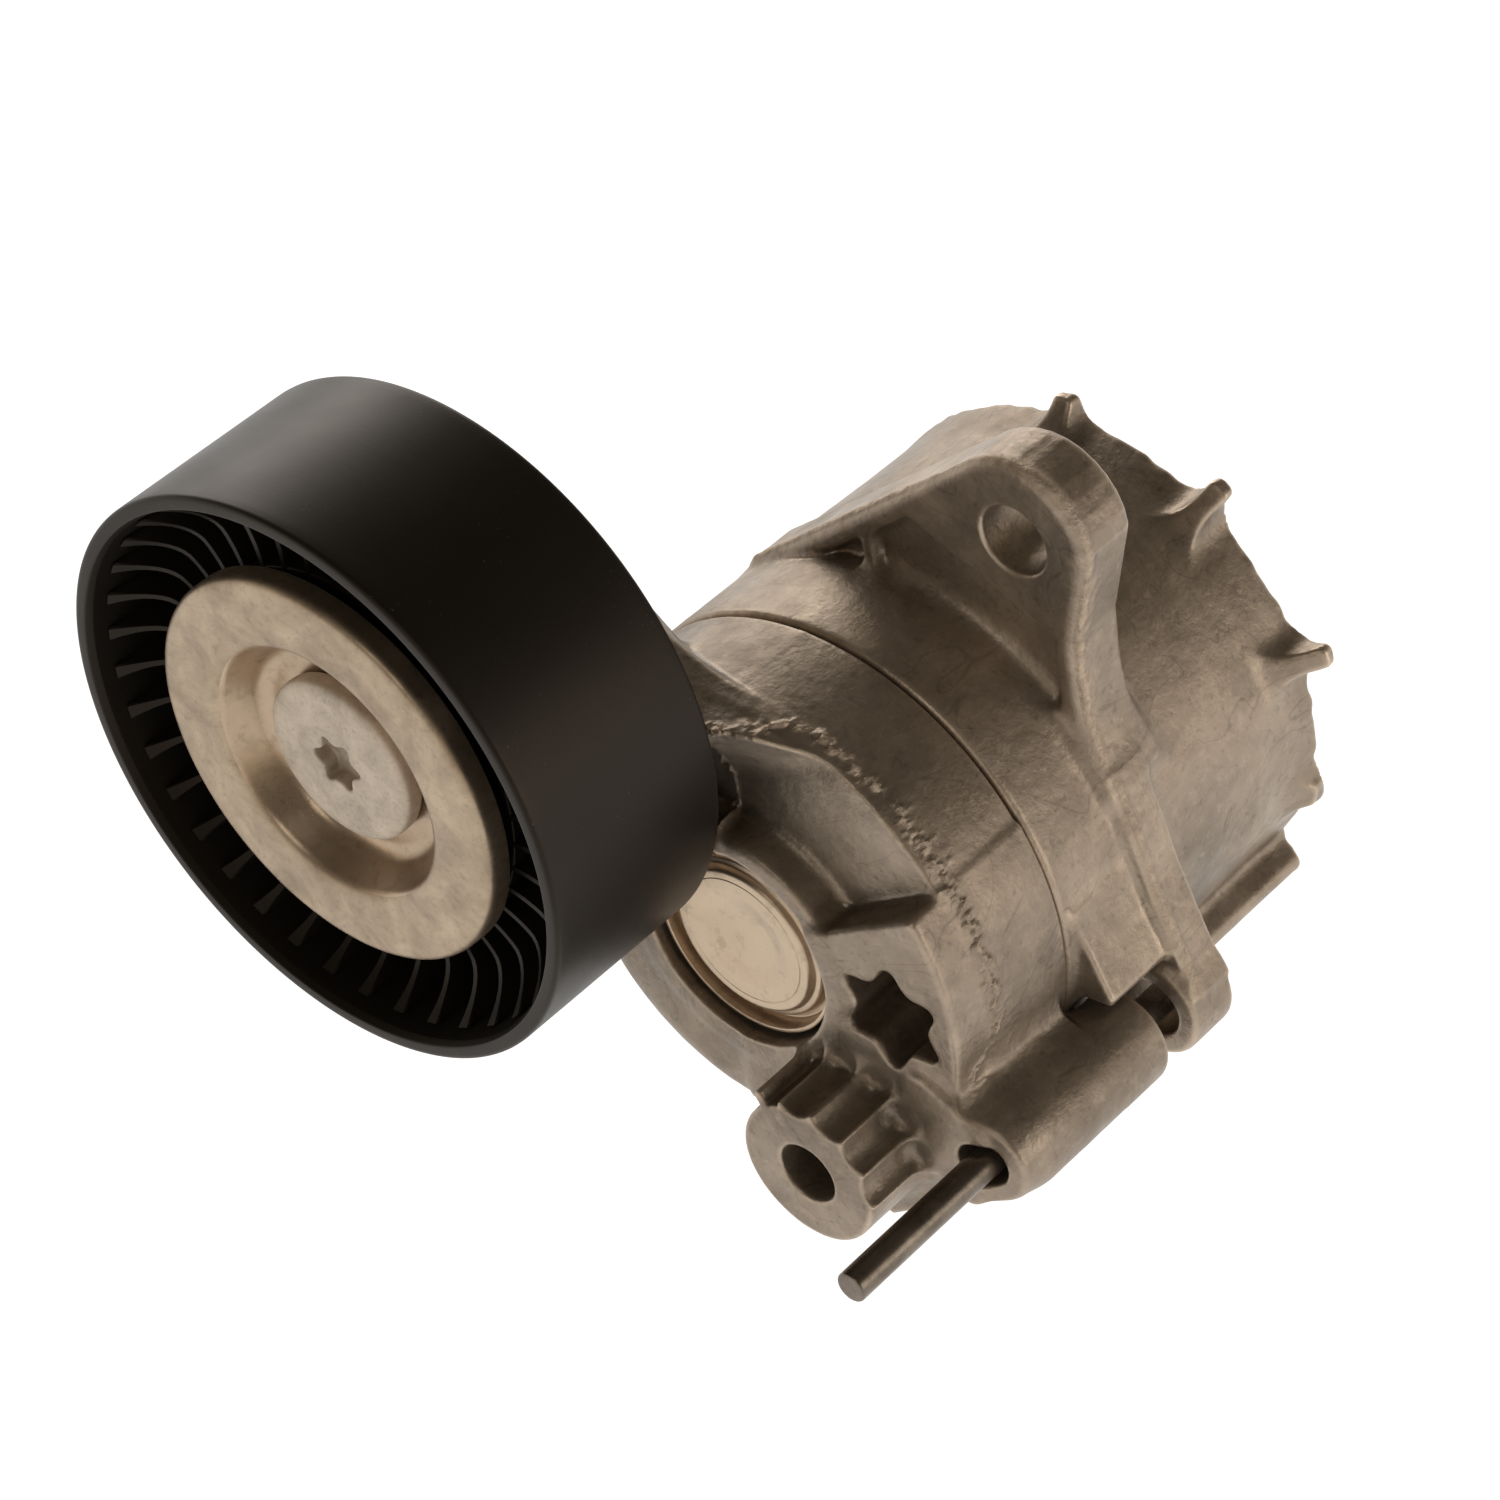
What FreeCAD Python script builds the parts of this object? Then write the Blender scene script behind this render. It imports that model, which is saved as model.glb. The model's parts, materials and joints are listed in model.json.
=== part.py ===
"""Belt tensioner idler: a smooth idler pulley on a sprung, damped swing arm.

Frame, millimetres: the swing axis is the Y axis. The origin is the centre of the housing's back
face, +Y points back into the engine, -Y is the front, where the pulley is, and +Z is up.
Angles are measured about the swing axis from +X towards +Z, as seen from the front.
"""
import FreeCAD
import Part
import math
import os

# ---- overall sizes ---------------------------------------------------------------------------
housing_length = 46.5      # back face to the seam with the arm
housing_radius = 31.3
skirt_inset = 0.45         # the arm's skirt is this much smaller in radius than the housing
arm_depth = 18.7           # seam to the arm's front face
pulley_radius = 35.0
pulley_width = 25.4
arm_reach = 42.3           # swing axis to pulley axis
arm_angle = 140.8
pulley_gap = 5.0           # arm's front face to the pulley's back

# ---- clearances and fits ---------------------------------------------------------------------
seam_gap = 0.3             # arm skirt to housing rim
running_clearance = 0.05   # radial, turning fits
face_clearance = 0.1       # axial, between faces that turn past each other
free_gap = 0.4             # radial, between parts that turn past each other without guiding

# ---- housing ---------------------------------------------------------------------------------
housing_wall = 3.7
housing_floor = 5.0
housing_draft = 0.5        # the barrel narrows this much towards the back
back_rim_out = 0.3         # back rim beyond the barrel
back_rim_length = 3.0
back_recess_depth = 1.5
back_recess_inner = 14.0
back_recess_rim = 4.3      # width of the rim round the back recess
back_web_count = 8
back_web_width = 2.4
nubs = ((-8.0, 1.6), (28.0, 3.8), (64.0, 4.2), (100.0, 2.8))   # angle, reach beyond the back rim
nub_width = 3.0
nub_length = 6.0
rib_angle = -30.5          # long rib behind the pin lug
rib_width = 3.2
rib_reach = 3.6

# ---- ears of the housing ---------------------------------------------------------------------
ear_out = 15.8             # barrel to the ear hole's centre
ear_angle = 74.9
ear_front = 11.7           # behind the seam
ear_thickness = 8.6
ear_hole_radius = 4.2
ear_tip_radius = 9.6
ear_edge_out = 1.5         # straight upper edge, beyond the barrel
ear_waist_side = 7.0       # right edge of the ear's waist, beside the hole's centre
ear_waist_drop = 7.0       # waist below the hole's centre
ear_foot_angle = 33.0      # the ear's right edge meets the barrel here
ear_rim = 2.6
ear_pad_drop = 8.6         # the pockets stop this far below the hole's centre
ear_pocket_depth = 1.6
ear_pocket_rib = 2.2

# ---- lock pin, its eye on the arm and its lug on the housing ----------------------------------
eye_out = 5.1              # barrel to the pin's axis
eye_angle = -15.15
eye_hole_radius = 2.9
eye_front_radius = 5.4
eye_tube_radius = 6.2
eye_tail = 6.0             # the tube runs this far behind the seam
pin_radius = 1.85
pin_chamfer = 0.4
pin_front = 41.6           # in front of the seam
pin_bite = 3.1             # into the lug
lug_front = 10.5           # behind the seam
lug_thickness = 7.2
lug_radius = 6.3
lug_hole_radius = 3.6
stop_out = 4.8             # stop's tip beyond the barrel
stop_angle = -1.6
stop_root_angle = 15.0
stop_front = 1.6           # behind the seam
stop_tip_radius = 0.8

# ---- arm -------------------------------------------------------------------------------------
arm_step = 4.7             # front face down to the lower step
arm_wall = 5.1
arm_front_wall = 9.2       # front face to the spring chamber
arm_cone_radius = 22.2     # front face at the lower left
arm_cone_length = 6.1
ring_radius = 15.3         # raised ring round the cap
ring_draft = 0.8
step_start = 40.0          # the lower step spans these angles
step_end = 162.0
plate_start = -62.0        # the front face reaches the full radius from here to step_start
recess_radius = 12.84
recess_depth = 7.2
hub_radius = 13.0
neck_half = 12.5           # half width at the middle of its depth
neck_rear = 6.8            # in front of the seam
neck_flank = 12.4          # the upper side is square to here, in front of the seam, then drafts in
neck_start = 8.0
neck_root_front = 96.0     # upper edge leaves the skirt here, at the front and at the back
neck_root_back = 122.0
neck_rim = 3.0
neck_ramp_start = 76.0     # a ramp rises from the lower step to the neck's rim
neck_ramp_width = 8.5
neck_slope_start = 12.0    # the back slopes away from here to the pulley axis
neck_slope_drop = 4.5
pulley_boss_radius = 13.0

# ---- tool features of the arm ----------------------------------------------------------------
star_reach = 22.0
star_angle = 9.1
star_turn = -21.5
star_tip_radius = 6.61
star_valley_radius = 4.78
star_lobes = 6
star_tip_share = 0.28      # of a lobe's angle, taken by its tip
star_side_share = 0.93     # of the tip radius, where tip and valley meet
star_depth = 9.7
star_pad_radius = 8.4
star_pad_wall = 1.6
boss_reach = 24.15
boss_angle = -41.5
boss_height = 9.5
boss_round_radius = 9.0
boss_tip_radius = 10.2
boss_bore_radius = 3.7
boss_bore_depth = 17.0
flute_radius = 2.7
flute_bottom_radius = 8.3
flute_first_angle = 20.0
flute_pitch = 27.5
flute_count = 4
blade_angle = 134.0
blade_width = 1.2
lobe_margin = 4.6          # the arm's plate beyond the boss

# ---- pivot -----------------------------------------------------------------------------------
shaft_radius = 8.0
shaft_neck_radius = 6.5
shaft_seat_depth = 27.0    # length pressed into the housing's post
post_radius = 12.5
post_gap = 2.8             # post's face behind the seam
bush_wall = 1.5
bush_flange_radius = 12.6
bush_flange = 1.2
friction_washer = 1.0
plate_radius = 11.5
plate_thickness = 2.3
rivet_radius = 8.2
rivet_height = 1.3
cap_wall = 0.8

# ---- damper and spring -----------------------------------------------------------------------
liner_wall = 1.8
liner_length = 11.0
damper_wall = 1.5
damper_tail = 10.0         # behind the seam
spring_wire = 4.4
spring_gap = 4.8           # coil to the barrel's bore
spring_turns = 5
spring_end_gap = 0.6       # star socket's pad to the first coil
seat_thickness = 2.0
seat_wall = 1.5

# ---- pulley ----------------------------------------------------------------------------------
rim_lip = 1.9
rim_wall = 2.9
rim_edge = 0.7
pulley_hub_wall = 2.4
web_thickness = 2.4
rib_count = 38
rib_thickness = 0.9
rib_front_drop = 6.3       # rim face to the rib's edge at the rim
rib_sag = 1.5

# ---- bearing and what clamps it ---------------------------------------------------------------
bearing_outer_radius = 20.0
bearing_bore_radius = 8.5
bearing_width = 12.0
bearing_rear_drop = 5.3    # pulley's back to the bearing's back
inner_ring_wall = 3.7
outer_ring_wall = 3.6
race_depth = 1.22          # balls sit this deep in each ring
ball_count = 8
ball_clearance = 0.1
seal_thickness = 0.8
seal_inset = 0.3
cage_thickness = 1.5
cage_half_width = 4.0
shield_thickness = 1.0
shield_inset = 0.8
spigot_stop = 1.0          # spigot ends short of the bearing's front
cover_over = 3.86          # the cover reaches this far beyond the bearing
cover_thickness = 0.9
cover_front = 6.2          # annulus in front of the seat
cover_skirt = 2.0
cover_lip_radius = 15.9
cover_seat_radius = 13.0
bolt_head_radius = 10.0
bolt_head_height = 3.4
bolt_radius = 5.0
bolt_length = 21.0
bolt_turn = 3.0
bolt_recess_tip = 3.35
bolt_recess_valley = 2.4
bolt_recess_depth = 2.4

# ---- radii and reaches that follow the housing --------------------------------------------------
arm_radius = housing_radius - skirt_inset
ear_reach = housing_radius + ear_out
ear_edge_offset = housing_radius + ear_edge_out
eye_reach = housing_radius + eye_out
stop_reach = housing_radius + stop_out
back_rim_radius = housing_radius + back_rim_out
back_recess_outer = housing_radius - back_recess_rim

inner_race_radius = bearing_bore_radius + inner_ring_wall
outer_race_radius = bearing_outer_radius - outer_ring_wall
bearing_pitch_radius = (inner_race_radius + outer_race_radius) / 2
ball_radius = (outer_race_radius - inner_race_radius) / 2 + race_depth
shield_radius = bearing_outer_radius - shield_inset
cover_radius = bearing_outer_radius + cover_over

# ---- axial stations ---------------------------------------------------------------------------
seam = -housing_length
arm_back = seam - seam_gap
arm_front = seam - arm_depth
arm_floor = arm_front + arm_step
chamber_front = arm_front + arm_front_wall
pad_back = arm_front + star_depth + star_pad_wall
recess_floor = arm_front + recess_depth
pulley_back = arm_front - pulley_gap
pulley_front = pulley_back - pulley_width
bearing_back = pulley_back - bearing_rear_drop
bearing_front = bearing_back - bearing_width
bearing_mid = bearing_back - bearing_width / 2
cover_seat = bearing_front - cover_thickness
boss_front = arm_front - boss_height
pulley_boss_back = seam - neck_rear - neck_slope_drop
ear_y = seam + ear_front
lug_y = seam + lug_front
post_front = seam + post_gap

AXIS = FreeCAD.Vector(0, 1, 0)
FIT_RADIUS = housing_radius - housing_wall
spring_radius = FIT_RADIUS - spring_gap - spring_wire / 2


def polar(reach, angle):
    """Point in the X-Z plane at a distance and an angle about the swing axis."""
    a = math.radians(angle)
    return (reach * math.cos(a), reach * math.sin(a))


PULLEY = polar(arm_reach, arm_angle)
EYE = polar(eye_reach, eye_angle)
BOSS = polar(boss_reach, boss_angle)
STAR = polar(star_reach, star_angle)
PIVOT = (0.0, 0.0)


def vec(point, y=0.0):
    return FreeCAD.Vector(point[0], y, point[1])


def disc(centre, radius, y0, y1):
    """Cylinder along Y between two stations."""
    return Part.makeCylinder(radius, y1 - y0, vec(centre, y0), AXIS)


def tube(centre, outer, inner, y0, y1):
    return disc(centre, outer, y0, y1).cut(disc(centre, inner, y0 - 1, y1 + 1))


def turned(centre, profile):
    """Solid of revolution about the Y axis through a centre, from (radius, y) points."""
    points = [FreeCAD.Vector(centre[0] + r, y, centre[1]) for r, y in profile]
    face = Part.Face(Part.makePolygon(points + [points[0]]))
    return face.revolve(vec(centre), AXIS, 360)


def prism(points, y0, y1):
    """Polygon of (x, z) points extruded along Y."""
    corners = [vec(p, y0) for p in points]
    face = Part.Face(Part.makePolygon(corners + [corners[0]]))
    return face.extrude(FreeCAD.Vector(0, y1 - y0, 0))


def sector(radius, start, end, y0, y1):
    """Pie slice of a cylinder about the swing axis."""
    base = Part.makeCylinder(radius, y1 - y0, FreeCAD.Vector(0, 0, 0), FreeCAD.Vector(0, 0, 1), end - start)
    base.rotate(FreeCAD.Vector(0, 0, 0), FreeCAD.Vector(0, 0, 1), start)
    base.rotate(FreeCAD.Vector(0, 0, 0), FreeCAD.Vector(1, 0, 0), 90)
    base.translate(FreeCAD.Vector(0, y1, 0))
    return base


def bar(centre, angle, r0, r1, width, y0, y1):
    """Radial bar of constant width about a centre."""
    half = width / 2
    solid = Part.makeBox(r1 - r0, y1 - y0, width, FreeCAD.Vector(r0, y0, -half))
    solid.rotate(FreeCAD.Vector(0, 0, 0), AXIS, -angle)
    solid.translate(vec(centre))
    return solid


def fuse(shapes):
    return shapes[0].multiFuse(shapes[1:]).removeSplitter()


def star_wire(centre, tip, valley, turn, y):
    """Closed six-lobe outline of arcs: round tips and round valleys."""
    step = 360.0 / star_lobes
    half = step * star_tip_share / 2
    side = tip * star_side_share
    edges = []
    for i in range(star_lobes):
        a = turn + i * step
        tip_arc = [(side, a - half), (tip, a), (side, a + half)]
        valley_arc = [(side, a + half), (valley, a + step / 2), (side, a + step - half)]
        for group in (tip_arc, valley_arc):
            pts = []
            for radius, angle in group:
                x, z = polar(radius, angle)
                pts.append(vec((centre[0] + x, centre[1] + z), y))
            edges.append(Part.Arc(*pts).toShape())
    return Part.Wire(edges)


def star_prism(centre, tip, valley, turn, y0, y1):
    return Part.Face(star_wire(centre, tip, valley, turn, y0)).extrude(FreeCAD.Vector(0, y1 - y0, 0))


# ---- housing ---------------------------------------------------------------------------------

def ear_outline(margin):
    """Face of the upper ear in the X-Z plane, its outer edges moved in by a margin."""
    hole = polar(ear_reach, ear_angle)
    tip = ear_tip_radius - margin
    edge = ear_edge_offset - margin
    normal = ear_angle + math.degrees(math.acos((edge - tip) / ear_reach))
    root = polar(edge, normal)
    tail = polar(housing_radius - 0.5 - margin, normal + 24)
    reach = polar(tip, normal)
    left_top = (hole[0] + reach[0], hole[1] + reach[1])
    reach = polar(tip, ear_angle)
    crown = (hole[0] + reach[0], hole[1] + reach[1])
    reach = polar(tip, 18)
    right_top = (hole[0] + reach[0], hole[1] + reach[1])
    waist = (hole[0] + ear_waist_side - margin, hole[1] - ear_waist_drop)
    foot = polar(housing_radius + 0.3 - margin, ear_foot_angle)
    bend = (waist[0] + 1.9, waist[1] + (foot[1] - waist[1]) * 0.55)
    edges = [
        Part.LineSegment(vec(PIVOT), vec(tail)).toShape(),
        Part.LineSegment(vec(tail), vec(root)).toShape(),
        Part.LineSegment(vec(root), vec(left_top)).toShape(),
        Part.Arc(vec(left_top), vec(crown), vec(right_top)).toShape(),
        Part.LineSegment(vec(right_top), vec(waist)).toShape(),
        Part.Arc(vec(waist), vec(bend), vec(foot)).toShape(),
        Part.LineSegment(vec(foot), vec(PIVOT)).toShape(),
    ]
    return Part.Face(Part.Wire(edges))


def ear():
    """Bolt ear with a rim and two shallow pockets below the pad round its hole."""
    plate = ear_outline(0).extrude(FreeCAD.Vector(0, ear_thickness, 0))
    plate.translate(FreeCAD.Vector(0, ear_y, 0))
    pocket = ear_outline(ear_rim).extrude(FreeCAD.Vector(0, ear_pocket_depth, 0))
    pocket.translate(FreeCAD.Vector(0, ear_y, 0))
    deep = ear_y + ear_thickness
    pad = bar(PIVOT, ear_angle, ear_reach - ear_pad_drop, ear_reach + ear_tip_radius, 3 * ear_tip_radius,
              ear_y - 1, deep)
    divider = bar(PIVOT, ear_angle + 27.5, 0, ear_reach, ear_pocket_rib, ear_y - 1, deep)
    return plate.cut(pocket.cut(pad).cut(divider))


def ear_holes(shape):
    for turn in (0, 180):
        hole = polar(ear_reach, ear_angle + turn)
        shape = shape.cut(disc(hole, ear_hole_radius, ear_y - 1, ear_y + ear_thickness + 1))
    return shape


def lug_and_stop():
    """Pin lug, its web to the barrel and the wedge that stops the arm."""
    lug_back = lug_y + lug_thickness
    root_hi = polar(housing_radius - 1, 16.0)
    root_lo = polar(housing_radius - 1, -34.0)
    shoulder_angle = math.radians(38.0)
    shoulder = (EYE[0] + lug_radius * math.cos(shoulder_angle),
                EYE[1] + lug_radius * math.sin(shoulder_angle))
    under = math.radians(-100.0)
    belly = (EYE[0] + lug_radius * math.cos(under), EYE[1] + lug_radius * math.sin(under))
    web = prism([(0, 0), root_hi, shoulder, EYE, belly, root_lo], lug_y + 1.2, lug_back)
    lug = disc(EYE, lug_radius, lug_y, lug_back)
    tip = polar(stop_reach - stop_tip_radius, stop_angle)
    root = polar(housing_radius - 0.6, stop_root_angle)
    base = polar(housing_radius - 0.6, stop_angle - 4)
    out_x = tip[0] - root[0]
    out_z = tip[1] - root[1]
    length = math.hypot(out_x, out_z)
    side = (-out_z / length * stop_tip_radius, out_x / length * stop_tip_radius)
    edge_root = (root[0] + side[0], root[1] + side[1])
    edge_tip = (tip[0] + side[0], tip[1] + side[1])
    under_tip = (tip[0], tip[1] - stop_tip_radius)
    wedge = prism([(0, 0), edge_root, edge_tip, tip, under_tip, base], seam + stop_front, lug_y + 2)
    nose = disc(tip, stop_tip_radius, seam + stop_front, lug_y + 2)
    return fuse([web, lug, wedge, nose])


def nub(angle, reach):
    """Small fin on the back rim, sloping down to the barrel in front."""
    inner = back_rim_radius - 3
    top = back_rim_radius + reach
    side = [(inner, -nub_length), (back_rim_radius, -nub_length), (top, -nub_length / 2), (top, 0),
            (inner, 0)]
    corners = [FreeCAD.Vector(r, y, -nub_width / 2) for r, y in side]
    fin = Part.Face(Part.makePolygon(corners + [corners[0]])).extrude(FreeCAD.Vector(0, 0, nub_width))
    fin.rotate(FreeCAD.Vector(0, 0, 0), AXIS, -angle)
    return fin


def housing_outside():
    """Outer form of the housing before it is hollowed: barrel, two ears, fins and rib."""
    barrel = turned(PIVOT, [
        (0, seam), (housing_radius - 0.4, seam), (housing_radius, seam + 0.4),
        (housing_radius, ear_y), (housing_radius - housing_draft, -back_rim_length - 1),
        (back_rim_radius, -back_rim_length), (back_rim_radius, -0.6), (back_rim_radius - 0.6, 0), (0, 0),
    ])
    outer = [barrel, ear()]
    lower = ear()
    lower.rotate(FreeCAD.Vector(0, 0, 0), AXIS, 180)
    outer.append(lower)
    for angle, reach in nubs:
        outer.append(nub(angle, reach))
    rib_tip = housing_radius + rib_reach
    outer.append(bar(PIVOT, rib_angle, housing_radius - 3, rib_tip, rib_width, lug_y + 4, 0))
    return fuse(outer)


def base_housing():
    """Die-cast cup with two bolt ears and a post for the pivot shaft."""
    body = housing_outside()
    body = body.cut(disc(PIVOT, FIT_RADIUS, seam - 1, -housing_floor))
    post = turned(PIVOT, [
        (0, -housing_floor), (0, post_front), (post_radius, post_front),
        (post_radius, -housing_floor - 4), (post_radius + 3, -housing_floor),
    ])
    body = fuse([body, post])
    body = body.cut(disc(PIVOT, shaft_radius, post_front - 1, post_front + shaft_seat_depth))
    recess = tube(PIVOT, back_recess_outer, back_recess_inner, -back_recess_depth, 1)
    for i in range(back_web_count):
        recess = recess.cut(bar(PIVOT, i * 360.0 / back_web_count, 0, 40, back_web_width, -5, 2))
    body = body.cut(recess)
    return ear_holes(body)


def housing_pin_lug():
    """Lug and stop of the same casting, kept as a node of their own beside the barrel."""
    lug = lug_and_stop().cut(housing_outside())
    return lug.cut(disc(EYE, lug_hole_radius, lug_y - 1, lug_y + lug_thickness + 1))


# ---- pivot, damper and spring ------------------------------------------------------------------

def pivot_shaft():
    """Steel shaft pressed into the post, with a riveted head in front of the retaining plate."""
    back = post_front + shaft_seat_depth
    shoulder = recess_floor - friction_washer - face_clearance
    plate_front = shoulder - plate_thickness
    head = plate_front - rivet_height
    return turned(PIVOT, [
        (0, back), (shaft_radius - 0.8, back), (shaft_radius, back - 0.8), (shaft_radius, shoulder),
        (shaft_neck_radius, shoulder), (shaft_neck_radius, plate_front), (rivet_radius, plate_front),
        (rivet_radius - 1.2, head), (0, head),
    ])


def retaining_plate():
    front = recess_floor - friction_washer - face_clearance - plate_thickness
    return tube(PIVOT, plate_radius, shaft_neck_radius, front, front + plate_thickness)


def front_cap():
    """Bright stamped cap pressed over the retaining plate."""
    outer = plate_radius + cap_wall
    back = recess_floor - friction_washer - face_clearance
    front = arm_front + 1.1
    t = cap_wall
    return turned(PIVOT, [
        (plate_radius, back), (outer, back), (outer, front + 0.9), (outer - 0.5, front + 0.4),
        (outer - 1.1, front + 0.9), (outer - 1.6, front + 0.5), (outer - 2.2, front), (6.6, front),
        (6.0, front + 0.35), (5.2, front + 0.35), (4.6, front + 0.15), (0, front + 0.15),
        (0, front + 0.15 + t), (4.5, front + 0.15 + t), (5.2, front + 0.35 + t), (6.2, front + 0.35 + t),
        (6.9, front + t), (outer - 2.2, front + t), (plate_radius, front + 0.9 + t),
    ])


def thrust_washer():
    front = seam + face_clearance + bush_flange
    return tube(PIVOT, post_radius, shaft_radius + running_clearance, front, post_front)


def pivot_bush():
    """Flanged bush pressed into the arm's hub; the shaft turns in it."""
    bore = shaft_radius + running_clearance
    outer = bore + bush_wall
    return turned(PIVOT, [
        (bore, recess_floor), (outer, recess_floor), (outer, seam), (bush_flange_radius, seam),
        (bush_flange_radius, seam + bush_flange), (bore, seam + bush_flange),
    ])


def friction_disc():
    inner = shaft_radius + free_gap
    return tube(PIVOT, recess_radius, inner, recess_floor - friction_washer, recess_floor)


def friction_liner():
    """Polymer liner in the housing's mouth; the damper sleeve rubs in it."""
    return tube(PIVOT, FIT_RADIUS, FIT_RADIUS - liner_wall, seam + 0.3, seam + liner_length)


def damper_sleeve():
    """Sleeve carried by the arm, guided by the liner."""
    outer = FIT_RADIUS - liner_wall - running_clearance
    return tube(PIVOT, outer, outer - damper_wall, pad_back + spring_end_gap, seam + damper_tail)


def spring_seat():
    """Polymer tray on the housing's floor under the spring's last coil."""
    outer = spring_radius + spring_wire / 2 + 1.2
    inner = post_radius + 3.2
    top = -housing_floor - seat_thickness
    return turned(PIVOT, [
        (inner, -housing_floor), (inner, top), (outer - seat_wall, top),
        (outer - seat_wall, top - 3), (outer, top - 3), (outer, -housing_floor),
    ])


def torsion_spring():
    """Round-wire coil between the arm's chamber and the seat."""
    start = pad_back + spring_end_gap + spring_wire / 2
    end = -housing_floor - seat_thickness - spring_wire / 2 - 0.3
    pitch = (end - start) / spring_turns
    helix = Part.makeHelix(pitch, end - start, spring_radius)
    section = Part.makeCircle(spring_wire / 2, FreeCAD.Vector(spring_radius, 0, 0), FreeCAD.Vector(0, 1, 0))
    circle = Part.Wire(section)
    wire = Part.Wire(helix.Edges)
    coil = wire.makePipeShell([circle], True, True)
    coil.rotate(FreeCAD.Vector(0, 0, 0), FreeCAD.Vector(1, 0, 0), -90)
    coil.translate(FreeCAD.Vector(0, start, 0))
    return coil


# ---- arm -------------------------------------------------------------------------------------

def arm_disc():
    """Round end of the arm: skirt, front plate, raised ring and lower step."""
    skirt = turned(PIVOT, [
        (0, arm_back), (arm_radius, arm_back), (arm_radius, arm_front + arm_cone_length),
        (arm_cone_radius, arm_front), (0, arm_front),
    ])
    plate = sector(arm_radius, plate_start, step_start, arm_front, arm_back)
    shelf = sector(arm_radius, step_start, step_end, arm_floor, arm_back)
    body = fuse([skirt, plate, shelf])
    step = sector(arm_radius + 5, step_start, step_end, arm_front - 1, arm_floor)
    ring = turned(PIVOT, [(0, arm_front - 2), (ring_radius, arm_front - 2), (ring_radius + ring_draft, arm_floor),
                          (ring_radius + ring_draft, arm_floor + 1), (0, arm_floor + 1)])
    return body.cut(step.cut(ring))


def arm_lobe():
    """Plate that carries the tool boss, the pin eye and their web."""
    back = arm_front + 11.0
    bottom = (BOSS[0] + 4.6, BOSS[1] - boss_round_radius - lobe_margin + 1.4)
    left = polar(arm_cone_radius + 0.6, -84)
    eye_low = (EYE[0] - 1.4, EYE[1] - eye_tube_radius + 0.2)
    plate = prism([(0, 0), left, (bottom[0] - 12, bottom[1] + 3.4), (bottom[0] - 3, bottom[1] + 0.6),
                   bottom, (bottom[0] + 2.2, bottom[1] + 2.2), eye_low, EYE, (EYE[0] - 4, EYE[1] + 6)],
                  arm_front, back)
    eye = turned(EYE, [
        (0, seam + eye_tail), (eye_tube_radius - 0.9, seam + eye_tail), (eye_tube_radius, seam + eye_tail - 0.9),
        (eye_tube_radius, arm_front + 5), (eye_front_radius, arm_front), (0, arm_front),
    ])
    web = prism([polar(arm_radius - 3, -3), (EYE[0] - 1.0, EYE[1] + eye_front_radius - 0.2),
                 (EYE[0] - 1.0, EYE[1] - eye_front_radius), polar(arm_radius - 3, -34)],
                arm_front, arm_back)
    tail_room = tube(PIVOT, arm_radius + 20, 0.1, arm_back, seam + eye_tail + 1)
    tail_room = tail_room.common(disc(PIVOT, housing_radius + free_gap, arm_back, seam + eye_tail + 1))
    return fuse([plate, eye.cut(tail_room), web])


def tool_boss():
    """Fluted boss for a wrench, round on its far side, with a blind bore."""
    round_part = disc(BOSS, boss_round_radius, boss_front, arm_front + 1)
    start = flute_first_angle - flute_pitch / 2
    end = start + flute_count * flute_pitch
    fluted = disc(BOSS, boss_tip_radius, boss_front, arm_front + 1)
    mask = sector(boss_tip_radius + 5, start, end, boss_front - 1, arm_front + 2)
    mask.translate(vec(BOSS))
    fluted = fluted.common(mask)
    for i in range(flute_count):
        angle = flute_first_angle + i * flute_pitch
        x, z = polar(flute_bottom_radius + flute_radius, angle)
        centre = (BOSS[0] + x, BOSS[1] + z)
        cutter = disc(centre, flute_radius, boss_front - 1, arm_front)
        fluted = fluted.cut(cutter)
        round_part = round_part.cut(cutter)
    blade = bar(BOSS, blade_angle, 4.0, boss_tip_radius + 0.6, blade_width, boss_front, arm_front + 1)
    return fuse([round_part, fluted, blade])


def along_neck(along, across):
    """Point in the X-Z plane, along the line to the pulley axis and across it, up being positive."""
    a = math.radians(arm_angle)
    return (math.cos(a) * along + math.sin(a) * across, math.sin(a) * along - math.cos(a) * across)


def neck_outline(points, y):
    corners = [vec(p, y) for p in points]
    return Part.makePolygon(corners + [corners[0]])


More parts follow.
